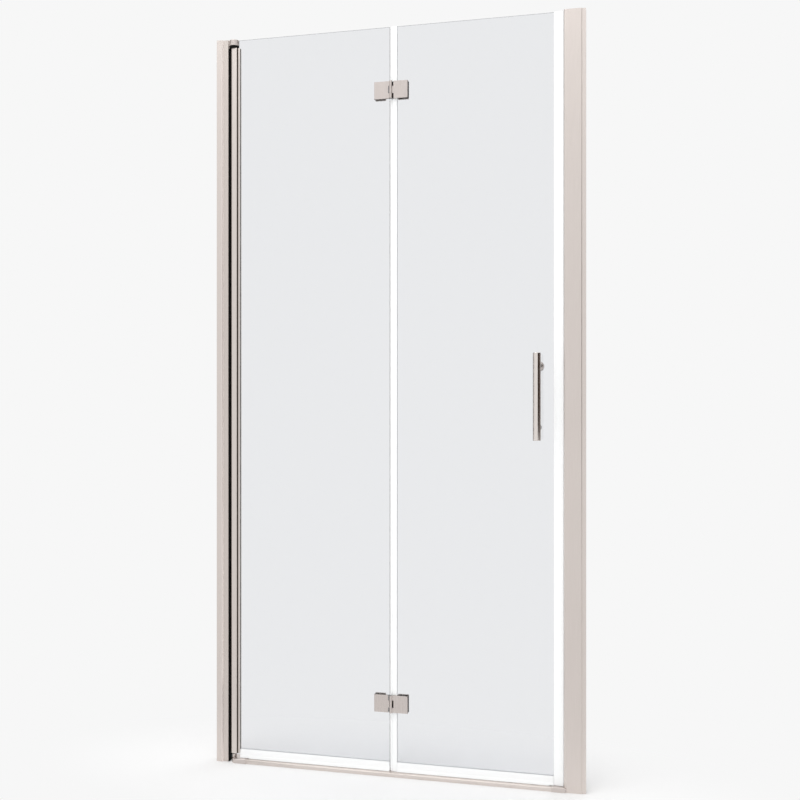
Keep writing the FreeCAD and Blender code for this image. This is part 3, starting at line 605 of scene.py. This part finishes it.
# Meshes
def new_piece(name, mesh, node, material):
    """A piece that stands for a CAD node, on that node's body and with its material slot."""
    piece = bpy.data.objects.new(name, mesh)
    bpy.context.scene.collection.objects.link(piece)
    mesh.materials.append(material)
    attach(piece, BODY_OF[node])
    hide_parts(node)
    return piece


def smooth(mesh, angle=35):
    """Shades a mesh smooth apart from edges sharper than the angle."""
    mesh.shade_smooth()
    mesh.set_sharp_from_angle(angle=math.radians(angle))


def turn(profile, steps):
    """A mesh turned about its Z axis from (radius, height) points that start and end on the axis."""
    made = bmesh.new()
    rings = []
    for radius, height in profile:
        if radius == 0:
            rings.append([made.verts.new((0, 0, height))] * steps)
            continue
        angles = [2 * math.pi * i / steps for i in range(steps)]
        rings.append([made.verts.new((radius * math.cos(a), radius * math.sin(a), height)) for a in angles])
    for low, high in zip(rings, rings[1:]):
        for i in range(steps):
            corners = [low[i - 1], low[i], high[i], high[i - 1]]
            unique = [corner for n, corner in enumerate(corners) if corner not in corners[:n]]
            made.faces.new(unique)
    return made


def arc(centre, radius, start, end, steps):
    """Points on an arc of a profile, with angles in degrees from the outward direction."""
    points = []
    for i in range(steps + 1):
        angle = math.radians(start + (end - start) * i / steps)
        points.append((centre[0] + radius * math.cos(angle), centre[1] + radius * math.sin(angle)))
    return points


def mesh_of(name, made):
    """A Blender mesh from a bmesh, with its faces turned outwards."""
    bmesh.ops.recalc_face_normals(made, faces=made.faces)
    mesh = bpy.data.meshes.new(name)
    made.to_mesh(mesh)
    made.free()
    return mesh


def joined(name, copies):
    """One mesh from several (bmesh, matrix) copies."""
    whole = bmesh.new()
    for made, matrix in copies:
        part = bpy.data.meshes.new(name)
        made.to_mesh(part)
        part.transform(matrix)
        whole.from_mesh(part)
        bpy.data.meshes.remove(part)
    return mesh_of(name, whole)


# Turns a form made along Z so that its axis runs into the shower
INWARD = Matrix.Rotation(math.radians(-90), 4, "X")
# Points this near are one, and edges flatter or sharper than these angles are dissolved or rounded
WELD = 0.002 * MM
FLAT = math.radians(0.5)
SHARP = math.radians(40)


def softened(node, name, material):
    """A copy of a CAD node with its sharp edges rounded, so that they catch the light."""
    made = bmesh.new()
    made.from_mesh(frame["nodes"][node].data)
    bmesh.ops.remove_doubles(made, verts=made.verts, dist=WELD)
    bmesh.ops.dissolve_limit(made, angle_limit=FLAT, verts=made.verts, edges=made.edges)
    mesh = mesh_of(name, made)
    piece = new_piece(name, mesh, node, material)
    bevel = piece.modifiers.new("soft_edges", "BEVEL")
    bevel.width = bpy.context.scene.door_hardware.edge_softness
    bevel.segments = 2
    bevel.limit_method = "ANGLE"
    bevel.angle_limit = SHARP
    bevel.harden_normals = False
    smooth(mesh)
    return piece


# Operators
class FrameSections(bpy.types.Operator):
    """Finishes the wall channels, jambs and threshold"""

    bl_idname = "shower_door.frame_sections"
    bl_label = "Frame sections"

    def execute(self, context):
        dress(
            ["wall_channel_strike_side", "strike_jamb"],
            "anodised_aluminium_brushed_upright",
            anodised_upright,
        )
        dress(["wall_channel_hinge_side"], "anodised_aluminium_brushed_lip_highlight", anodised_lip_highlighted)
        dress(["hinge_jamb"], "anodised_aluminium_brushed_deep", anodised_deep)
        dress(["threshold_rail"], "anodised_aluminium_brushed_lengthwise", anodised_lengthwise)
        plate = finish_of("nickel_plated_zinc_brushed", plated_zinc)
        softened("rail_end_hinge_side", "end_block_hinge_side", plate)
        softened("rail_end_strike_side", "end_block_strike_side", plate)
        return {"FINISHED"}


class PivotSet(bpy.types.Operator):
    """Finishes the turning post, its pivots and the wiper strip"""

    bl_idname = "shower_door.pivot_set"
    bl_label = "Post and pivots"

    def execute(self, context):
        dress(["pivot_post"], "anodised_aluminium_brushed_painted_shade", anodised_painted_shade)
        dress(["top_bush", "bottom_bush"], "nylon_black_moulded", black_nylon)
        dress(["gap_seal"], "rubber_black_extruded", black_rubber)
        dress(["glazing_gasket"], "vinyl_grey_extruded", grey_vinyl)
        dress(["top_pivot_pin", "bottom_pivot_pin"], "stainless_steel_turned", turned_stainless)
        softened("top_pivot_block", "pivot_block_top", finish_of("nickel_plated_zinc_brushed", plated_zinc))
        return {"FINISHED"}


# A pane is thinned by a hair, so that no face of a gasket or seal lies in its surface
PANE_SHARE = 0.996


class GlassPanels(bpy.types.Operator):
    """Builds the two panes"""

    bl_idname = "shower_door.glass_panels"
    bl_label = "Glass"

    def execute(self, context):
        glass = finish_of("float_glass_toughened", toughened_glass)
        for panel in ("pivot_panel", "fold_panel"):
            mesh = frame["nodes"][f"glass_{panel}"].data.copy()
            mesh.name = f"pane_{panel}"
            mesh.materials.clear()
            mesh.transform(Matrix.Diagonal((1, PANE_SHARE, 1, 1)))
            new_piece(mesh.name, mesh, f"glass_{panel}", glass)
        return {"FINISHED"}


class Seals(bpy.types.Operator):
    """Finishes the vinyl seals and the magnet strips inside them"""

    bl_idname = "shower_door.seals"
    bl_label = "Seals"

    def execute(self, context):
        dress(
            [
                "bottom_seal_pivot_panel",
                "bottom_seal_fold_panel",
                "fold_seal",
                "edge_magnet_seal",
                "strike_magnet_holder",
            ],
            "vinyl_white_extruded",
            white_vinyl,
        )
        dress(["edge_magnet", "strike_magnet"], "ferrite_rubber_strip", ferrite_strip)
        return {"FINISHED"}


# A hinge screw: the sides of its round parts, and its shank and edge as shares of the head's radius
SCREW_SIDES = 48
SHANK_SHARE = 0.54
EDGE_SHARE = 0.06
# Points this near to the head's top are in it
FLUSH = 1e-9
# Screws in one node are further apart than this
SCREW_GAP = 3 * MM


class FoldHinges(bpy.types.Operator):
    """Builds the rounded hinge plates and the socket screws that clamp them to the glass"""

    bl_idname = "shower_door.fold_hinges"
    bl_label = "Fold hinges"

    def execute(self, context):
        plate = finish_of("nickel_plated_zinc_painted_slit_shade", plated_hinge_slit_shaded)
        for place in ("upper", "lower"):
            for panel in ("pivot_panel", "fold_panel"):
                for leaf in ("leaf", "clamp"):
                    node = f"{place}_hinge_{leaf}_{panel}"
                    softened(node, f"{place}_{leaf}_plate_{panel}", plate)
        dress(["upper_hinge_pin", "lower_hinge_pin"], "stainless_steel_turned", turned_stainless)
        dress(
            ["hinge_gaskets_pivot_panel", "hinge_gaskets_fold_panel"],
            "rubber_black_extruded",
            black_rubber,
        )
        for panel in ("pivot_panel", "fold_panel"):
            self.socket_screws(context, panel)
        return {"FINISHED"}

    def socket_screws(self, context, panel):
        """Countersunk screws with hexagon sockets, in the places of the plain ones."""
        node = f"hinge_screws_{panel}"
        low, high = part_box(node)
        x = (low.x + high.x) / 2
        head_radius = (high.x - low.x) / 2
        length = high.y - low.y
        screws = []
        for z in screw_heights(node):
            matrix = Matrix.Translation((x, high.y, z)) @ INWARD
            screws.append((self.screw(context, head_radius, length), matrix))
        mesh = joined(f"socket_screws_{panel}", screws)
        smooth(mesh)
        new_piece(mesh.name, mesh, node, finish_of("stainless_steel_turned", turned_stainless))

    def screw(self, context, head_radius, length):
        """One screw along Z, with the top of its head at the origin."""
        hardware = context.scene.door_hardware
        shank_radius = SHANK_SHARE * head_radius
        cone = head_radius - shank_radius
        edge = EDGE_SHARE * head_radius
        outside = [
            (0, -length),
            (shank_radius, -length),
            (shank_radius, -cone - edge),
            (head_radius, -edge),
            (head_radius - edge, 0),
        ]
        made = turn(outside, SCREW_SIDES)
        rim = [v for v in made.verts if abs(v.co.z) < FLUSH]
        rim.sort(key=lambda v: math.atan2(v.co.y, v.co.x))
        corner = hardware.socket_width / math.sqrt(3)
        mouth = []
        floor = []
        for i in range(SCREW_SIDES):
            angle = math.atan2(rim[i].co.y, rim[i].co.x)
            # The reach of a hexagon's side in this direction
            within = (angle % (math.pi / 3)) - math.pi / 6
            reach = corner * math.cos(math.pi / 6) / math.cos(within)
            x, y = reach * math.cos(angle), reach * math.sin(angle)
            mouth.append(made.verts.new((x, y, 0)))
            floor.append(made.verts.new((x, y, -hardware.socket_depth)))
        for i in range(SCREW_SIDES):
            made.faces.new([rim[i - 1], rim[i], mouth[i], mouth[i - 1]])
            made.faces.new([mouth[i - 1], mouth[i], floor[i], floor[i - 1]])
        made.faces.new(floor)
        return made


def screw_heights(node):
    """Heights of the separate screws or caps in a CAD node, from the islands of its mesh."""
    heights = sorted(v.co.z for v in frame["nodes"][node].data.vertices)
    groups = [[heights[0]]]
    for z in heights[1:]:
        if z - groups[-1][-1] > SCREW_GAP:
            groups.append([])
        groups[-1].append(z)
    return [(group[0] + group[-1]) / 2 for group in groups]


# The sides of the handle's round pieces
BAR_SIDES = 96
KNOB_SIDES = 72
INNER_CAP_SIDES = 64


class HandleSet(bpy.types.Operator):
    """Builds the pull bar, the knob and the cap, and finishes what holds them"""

    bl_idname = "shower_door.handle_set"
    bl_label = "Handle"

    def execute(self, context):
        nickel = finish_of("nickel_plated_brass_polished", polished_nickel)
        self.pull_bar(context, nickel)
        self.inner_knob(nickel)
        self.inner_cap(nickel)
        dress(["handle_posts"], "nickel_plated_brass_polished", polished_nickel)
        dress(["handle_studs"], "stainless_steel_turned", turned_stainless)
        dress(["handle_washers", "handle_sleeves"], "vinyl_clear_cast", clear_vinyl)
        return {"FINISHED"}

    def pull_bar(self, context, material):
        """The bar, with its ends rounded."""
        low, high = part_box("handle_bar")
        radius = (high.x - low.x) / 2
        half = (high.z - low.z) / 2
        soft = context.scene.door_hardware.bar_round
        profile = [(0, -half)]
        profile += arc((radius - soft, -half + soft), soft, -90, 0, 6)
        profile += arc((radius - soft, half - soft), soft, 0, 90, 6)
        profile.append((0, half))
        mesh = mesh_of("pull_bar", turn(profile, BAR_SIDES))
        mesh.transform(Matrix.Translation((low + high) / 2))
        smooth(mesh)
        new_piece("pull_bar", mesh, "handle_bar", material)

    def inner_knob(self, material):
        """The knob: a foot on the glass, a narrow neck and a flared head with soft edges."""
        low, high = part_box("inside_knob")
        radius = (high.x - low.x) / 2
        length = high.y - low.y
        foot = 0.64 * radius
        foot_top = 0.06 * length
        sweep = 0.11 * radius
        neck = 0.53 * radius
        head = 0.5 * length
        soft = 0.12 * radius
        profile = [(0, 0), (0.62 * radius, 0), (foot, 0.02 * length), (foot, foot_top)]
        profile += arc((foot, foot_top + sweep), sweep, 270, 180, 8)[2:]
        profile += [(neck, 0.33 * length), (1.05 * neck, 0.36 * length)]
        profile += arc((radius - soft, head + soft), soft, -60, 0, 6)
        profile += arc((radius - soft, length - soft), soft, 0, 90, 8)
        profile.append((0, length))
        mesh = mesh_of("inner_knob", turn(profile, KNOB_SIDES))
        centre = (low + high) / 2
        mesh.transform(Matrix.Translation((centre.x, low.y, centre.z)) @ INWARD)
        smooth(mesh)
        new_piece("inner_knob", mesh, "inside_knob", material)

    def inner_cap(self, material):
        """The cap on the lower stud, with a rounded shoulder."""
        low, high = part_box("inside_cap")
        radius = (high.x - low.x) / 2
        length = high.y - low.y
        soft = 0.3 * length
        profile = [(0, 0), (radius, 0)]
        profile += arc((radius - soft, length - soft), soft, 0, 90, 8)
        profile.append((0, length))
        mesh = mesh_of("inner_cap", turn(profile, INNER_CAP_SIDES))
        centre = (low + high) / 2
        mesh.transform(Matrix.Translation((centre.x, low.y, centre.z)) @ INWARD)
        smooth(mesh)
        new_piece("inner_cap", mesh, "inside_cap", material)


# The sides of a screw cap
SNAP_CAP_SIDES = 48


class Fasteners(bpy.types.Operator):
    """Builds the domed screw caps and finishes the screws under them"""

    bl_idname = "shower_door.fasteners"
    bl_label = "Screws and caps"

    def execute(self, context):
        dress(
            ["jamb_screws_hinge_side", "jamb_screws_strike_side", "top_block_screw"],
            "stainless_steel_turned",
            turned_stainless,
        )
        plated = finish_of("abs_nickel_plated", plated_cap)
        for side in ("hinge_side", "strike_side"):
            node = f"screw_caps_{side}"
            low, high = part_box(node)
            radius = (high.x - low.x) / 2
            height = high.y - low.y
            x = (low.x + high.x) / 2
            caps = []
            for z in screw_heights(node):
                caps.append((self.cap(radius, height), Matrix.Translation((x, low.y, z)) @ INWARD))
            mesh = joined(f"snap_caps_{side}", caps)
            smooth(mesh)
            new_piece(mesh.name, mesh, node, plated)
        return {"FINISHED"}

    def cap(self, radius, height):
        """A hollow cap with a rounded shoulder and a slightly domed top."""
        wall = 0.15 * radius
        soft = 0.35 * height
        profile = [(0, height - wall), (radius - wall, height - wall), (radius - wall, 0), (radius, 0)]
        profile += arc((radius - soft, height - soft), soft, 0, 75, 8)
        profile.append((0, height))
        return turn(profile, SNAP_CAP_SIDES)


# The floor, in metres
FLOOR_RADIUS = 9.0
# It lies a hair under the door, so that no face of the door lies in it
FLOOR_DROP = 0.2 * MM
# The painted oval: how fast it ends along each axis, and where the backdrop starts and is whole
OVAL = (0.75, 2.0, 1.0)
OVAL_EDGE = (0.22, 0.75)
# Softboxes: place, target, width in metres and power in watts
SOFTBOXES = {
    "key_softbox": ((-1.2, -2.4, 5.8), (0, 0, 0.9), 4.4, 120.0),
    "front_fill": ((-1.0, -4.5, 1.6), (0, 0, 0.8), 3.0, 27.0),
    "back_softbox": ((1.6, 3.0, 4.6), (0, 0, 0.9), 2.4, 20.0),
}
# Where the drapes hang, in degrees from the front, turning to the right, and their heights
DRAPES = {
    "right_drape_low": ((35, 103), (0.4, 1.9)),
    "right_drape_high": ((78, 103), (1.9, 3.6)),
    "left_drape": ((228, 278), (0.4, 3.6)),
}
# The flat strips of a drape's arc
DRAPE_STEPS = 24
# The net over the floor in front of the door, and the share of what is under it that it hides
SCRIM_X = (-1.6, 1.2)
SCRIM_Y = (-2.2, -0.2)
NET_COVER = 0.07
# How far cloth stays off the floor
CLOTH_LIFT = 4 * MM
# The flag above or below a hinge: its distance, its depths, and how far it reaches past the plates
LEVEL_GAP = 6 * MM
LEVEL_Y = (4 * MM, 24 * MM)
LEVEL_PAST_LEFT = 12 * MM
LEVEL_PAST_RIGHT = 4 * MM
# The flag behind a hinge's right edge: its depth, from where to where it reaches past that edge, how far
# it stands over the plates, and how far it is shifted away from the camera's height
REAR_Y = 14 * MM
REAR_X = (1 * MM, 16 * MM)
REAR_OVER = 4 * MM
REAR_SHIFT = 8 * MM
# The flag at the left of the lower hinge, in degrees as for the drapes
LEFT_FLAG_DISTANCE = 0.4
LEFT_FLAG_ANGLES = (276, 303)


class Stage(bpy.types.Operator):
    """Sets up the floor, the light and the camera"""

    bl_idname = "shower_door.stage"
    bl_label = "Studio"

    def execute(self, context):
        self.floor(context)
        self.world(context)
        self.lamps(context)
        self.drapes(context)
        self.camera(context)
        context.scene.view_settings.view_transform = "Standard"
        return {"FINISHED"}

    def floor(self, context):
        """A round floor that reaches out of the camera's view."""
        made = bmesh.new()
        bmesh.ops.create_circle(made, cap_ends=True, segments=96, radius=FLOOR_RADIUS)
        mesh = bpy.data.meshes.new("studio_floor")
        made.to_mesh(mesh)
        made.free()
        floor = bpy.data.objects.new("studio_floor", mesh)
        floor.location.z = -FLOOR_DROP
        context.scene.collection.objects.link(floor)
        mesh.materials.append(finish_of("floor_matt_paint", self.floor_paint))

    def floor_paint(self, tree):
        """Matt white paint near the door, which keeps its shadow, and the plain backdrop further out."""
        backdrop = opaque(bpy.context.scene.door_studio.backdrop)
        place = add(tree, "ShaderNodeTexCoord").outputs["Object"]
        oval = add(tree, "ShaderNodeVectorMath", {1: OVAL}, {0: place}, operation="MULTIPLY")
        away = add(tree, "ShaderNodeVectorMath", links={0: oval.outputs[0]}, operation="LENGTH")
        far = add(
            tree,
            "ShaderNodeMapRange",
            {"From Min": OVAL_EDGE[0], "From Max": OVAL_EDGE[1]},
            {"Value": away.outputs["Value"]},
            interpolation_type="SMOOTHSTEP",
        )
        paint = add(tree, "ShaderNodeBsdfDiffuse", {"Color": opaque(linear("#F8F8F8"))})
        glow = add(tree, "ShaderNodeEmission", {"Color": backdrop, "Strength": 1.0})
        seen = self.seen(tree)
        share = add(tree, "ShaderNodeMath", links={0: far.outputs[0], 1: seen}, operation="MULTIPLY")
        both = add(
            tree,
            "ShaderNodeMixShader",
            links={0: share.outputs[0], 1: paint.outputs[0], 2: glow.outputs[0]},
        )
        add(tree, "ShaderNodeOutputMaterial", links={"Surface": both.outputs[0]})

    def seen(self, tree):
        """1 for rays that show the background: straight, by reflection or through glass."""
        ray = add(tree, "ShaderNodeLightPath").outputs
        direct = add(
            tree,
            "ShaderNodeMath",
            links={0: ray["Is Camera Ray"], 1: ray["Is Glossy Ray"]},
            operation="MAXIMUM",
        )
        shown = add(
            tree,
            "ShaderNodeMath",
            links={0: direct.outputs[0], 1: ray["Is Transmission Ray"]},
            operation="MAXIMUM",
        )
        return shown.outputs[0]

    def world(self, context):
        """Even white light, and the plain backdrop where rays show it."""
        studio = context.scene.door_studio
        world = bpy.data.worlds.new("studio_white")
        context.scene.world = world
        world.use_nodes = True
        tree = world.node_tree
        tree.nodes.clear()
        light = add(tree, "ShaderNodeBackground", {"Color": (1, 1, 1, 1), "Strength": studio.ambient})
        shown = add(tree, "ShaderNodeBackground", {"Color": opaque(studio.backdrop), "Strength": 1.0})
        both = add(
            tree,
            "ShaderNodeMixShader",
            links={0: self.seen(tree), 1: light.outputs[0], 2: shown.outputs[0]},
        )
        add(tree, "ShaderNodeOutputWorld", links={"Surface": both.outputs[0]})

    def lamps(self, context):
        """Softboxes too high for the upright panes to mirror, and a low fill that shows in no mirror."""
        boxes = {name: self.softbox(context, name, *setting) for name, setting in SOFTBOXES.items()}
        boxes["front_fill"].visible_glossy = False
        boxes["front_fill"].visible_transmission = False

    def drapes(self, context):
        """Black drapes at both sides, and small flags round each hinge, give the metal its dark edges."""
        distance = context.scene.door_studio.drape_distance
        for name, (angles, heights) in DRAPES.items():
            rows = self.curve(Vector(), distance, angles, heights)
            self.drape(context, name, rows, "drape_black_velvet_front", self.velvet_front)
        self.hinge_flags(context, "upper", -1)
        self.hinge_flags(context, "lower", 1)
        scrim = [[(x, y, CLOTH_LIFT) for y in SCRIM_Y] for x in SCRIM_X]
        self.drape(context, "floor_scrim", scrim, "scrim_grey_net", self.net)

    def curve(self, centre, distance, angles, heights):
        """Rows of an upright cloth that hangs in an arc about a place."""
        rows = []
        for i in range(DRAPE_STEPS + 1):
            angle = math.radians(angles[0] + (angles[1] - angles[0]) * i / DRAPE_STEPS)
            x = centre.x + distance * math.sin(angle)
            y = centre.y - distance * math.cos(angle)
            rows.append([(x, y, z) for z in heights])
        return rows

    def hinge_flags(self, context, place, seen_from):
        """Flags that a hinge's edges mirror: seen_from is 1 where the camera looks down on it, else -1."""
        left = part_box(f"{place}_hinge_leaf_pivot_panel")[0].x
        low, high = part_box(f"{place}_hinge_leaf_fold_panel")
        level_z = (high.z if seen_from > 0 else low.z) + LEVEL_GAP * seen_from
        ends = (left - LEVEL_PAST_LEFT, high.x + LEVEL_PAST_RIGHT)
        level = [[(x, y, level_z) for y in LEVEL_Y] for x in ends]
        self.drape(context, f"{place}_hinge_level_flag", level, "drape_black_velvet", self.velvet)
        heights = [edge - REAR_SHIFT * seen_from for edge in (low.z - REAR_OVER, high.z + REAR_OVER)]
        rear = [[(high.x + past, REAR_Y, z) for z in heights] for past in REAR_X]
        self.drape(context, f"{place}_hinge_rear_flag", rear, "drape_black_velvet", self.velvet)
        if seen_from > 0:
            low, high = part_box(f"{place}_hinge_pin")
            axis = (low + high) / 2
            front = self.curve(axis, LEFT_FLAG_DISTANCE, LEFT_FLAG_ANGLES, (CLOTH_LIFT, axis.z))
            name = f"{place}_hinge_left_flag"
            self.drape(context, name, front, "drape_black_velvet_front", self.velvet_front)

    def drape(self, context, name, rows, finish, build):
        """A cloth through rows of two places, which shows in reflections alone."""
        made = bmesh.new()
        rows = [[made.verts.new(place) for place in row] for row in rows]
        for left, right in zip(rows, rows[1:]):
            made.faces.new([left[0], right[0], right[1], left[1]])
        drape = bpy.data.objects.new(name, mesh_of(name, made))
        context.scene.collection.objects.link(drape)
        drape.data.materials.append(finish_of(finish, build))
        drape.visible_camera = False
        drape.visible_diffuse = False
        drape.visible_volume_scatter = False
        drape.visible_shadow = False

    def velvet(self, tree):
        """Black velvet that hides what is behind it, also from metal that sees it through a pane."""
        self.cloth(tree, 1.0, "Is Reflection Ray")

    def velvet_front(self, tree):
        """Black velvet for drapes in front of the panes, which neither face of a pane mirrors."""
        self.cloth(tree, 1.0, "Is Glossy Ray")

    def net(self, tree):
        """Open dark net that takes a little off what is behind it."""
        self.cloth(tree, NET_COVER, "Is Glossy Ray")

    def cloth(self, tree, cover, mirrored):
        """Black cloth that takes a share of the light."""
        cloth = add(tree, "ShaderNodeBsdfDiffuse", {"Color": opaque(linear("#3A2D26"))})
        self.shown_to_metal(tree, cloth, cover, mirrored)

    def shown_to_metal(self, tree, surface, cover, mirrored):
        """Leaves a surface out of what the panes mirror to the eye, so that they show the backdrop."""
        clear = add(tree, "ShaderNodeBsdfTransparent")
        ray = add(tree, "ShaderNodeLightPath").outputs
        # One bounce off metal is enough to show it, but a pane's mirror image only at the second bounce
        bounces = add(
            tree,
            "ShaderNodeMath",
            {2: 0.5},
            {0: ray[mirrored], 1: ray["Is Singular Ray"]},
            operation="MULTIPLY_ADD",
        )
        shown = add(
            tree,
            "ShaderNodeMath",
            links={0: ray["Glossy Depth"], 1: bounces.outputs[0]},
            operation="GREATER_THAN",
        )
        share = add(tree, "ShaderNodeMath", {1: cover}, {0: shown.outputs[0]}, operation="MULTIPLY")
        both = add(
            tree,
            "ShaderNodeMixShader",
            links={0: share.outputs[0], 1: clear.outputs[0], 2: surface.outputs[0]},
        )
        add(tree, "ShaderNodeOutputMaterial", links={"Surface": both.outputs[0]})

    def softbox(self, context, name, place, target, size, power):
        """A square lamp that faces its target."""
        lamp = bpy.data.lights.new(name, "AREA")
        lamp.size = size
        lamp.energy = power
        box = bpy.data.objects.new(name, lamp)
        box.location = place
        box.rotation_euler = (Vector(target) - Vector(place)).to_track_quat("-Z", "Y").to_euler()
        box.visible_camera = False
        context.scene.collection.objects.link(box)
        return box

    def camera(self, context):
        """A level camera at the photograph's viewing angle."""
        studio = context.scene.door_studio
        lens = bpy.data.cameras.new("product_camera")
        lens.lens = studio.lens
        lens.sensor_width = 36.0
        camera = bpy.data.objects.new("product_camera", lens)
        camera.location = studio.camera_place
        camera.rotation_euler = (math.radians(90), 0, studio.camera_turn)
        context.scene.collection.objects.link(camera)
        context.scene.camera = camera


class DoorPanel(bpy.types.Panel):
    """Lists the steps that dress the door"""

    bl_idname = "VIEW3D_PT_shower_door"
    bl_label = "Shower Door"
    bl_space_type = "VIEW_3D"
    bl_region_type = "UI"
    bl_category = "Shower Door"

    def draw(self, context):
        for operator in OPERATORS:
            self.layout.operator(operator.bl_idname)
        for group in (context.scene.door_finish, context.scene.door_hardware, context.scene.door_studio):
            for name in group.__annotations__:
                self.layout.prop(group, name)


OPERATORS = (FrameSections, PivotSet, GlassPanels, Seals, FoldHinges, HandleSet, Fasteners, Stage)
CLASSES = (DoorFinish, DoorHardware, DoorStudio, *OPERATORS, DoorPanel)


def register():
    for cls in CLASSES:
        bpy.utils.register_class(cls)
    bpy.types.Scene.door_finish = bpy.props.PointerProperty(type=DoorFinish)
    bpy.types.Scene.door_hardware = bpy.props.PointerProperty(type=DoorHardware)
    bpy.types.Scene.door_studio = bpy.props.PointerProperty(type=DoorStudio)


def unregister():
    del bpy.types.Scene.door_studio
    del bpy.types.Scene.door_hardware
    del bpy.types.Scene.door_finish
    for cls in reversed(CLASSES):
        bpy.utils.unregister_class(cls)


def main():
    register()
    bpy.ops.shower_door.frame_sections()
    bpy.ops.shower_door.pivot_set()
    bpy.ops.shower_door.glass_panels()
    bpy.ops.shower_door.seals()
    bpy.ops.shower_door.fold_hinges()
    bpy.ops.shower_door.handle_set()
    bpy.ops.shower_door.fasteners()
    bpy.ops.shower_door.stage()


if __name__ == "__main__":
    main()
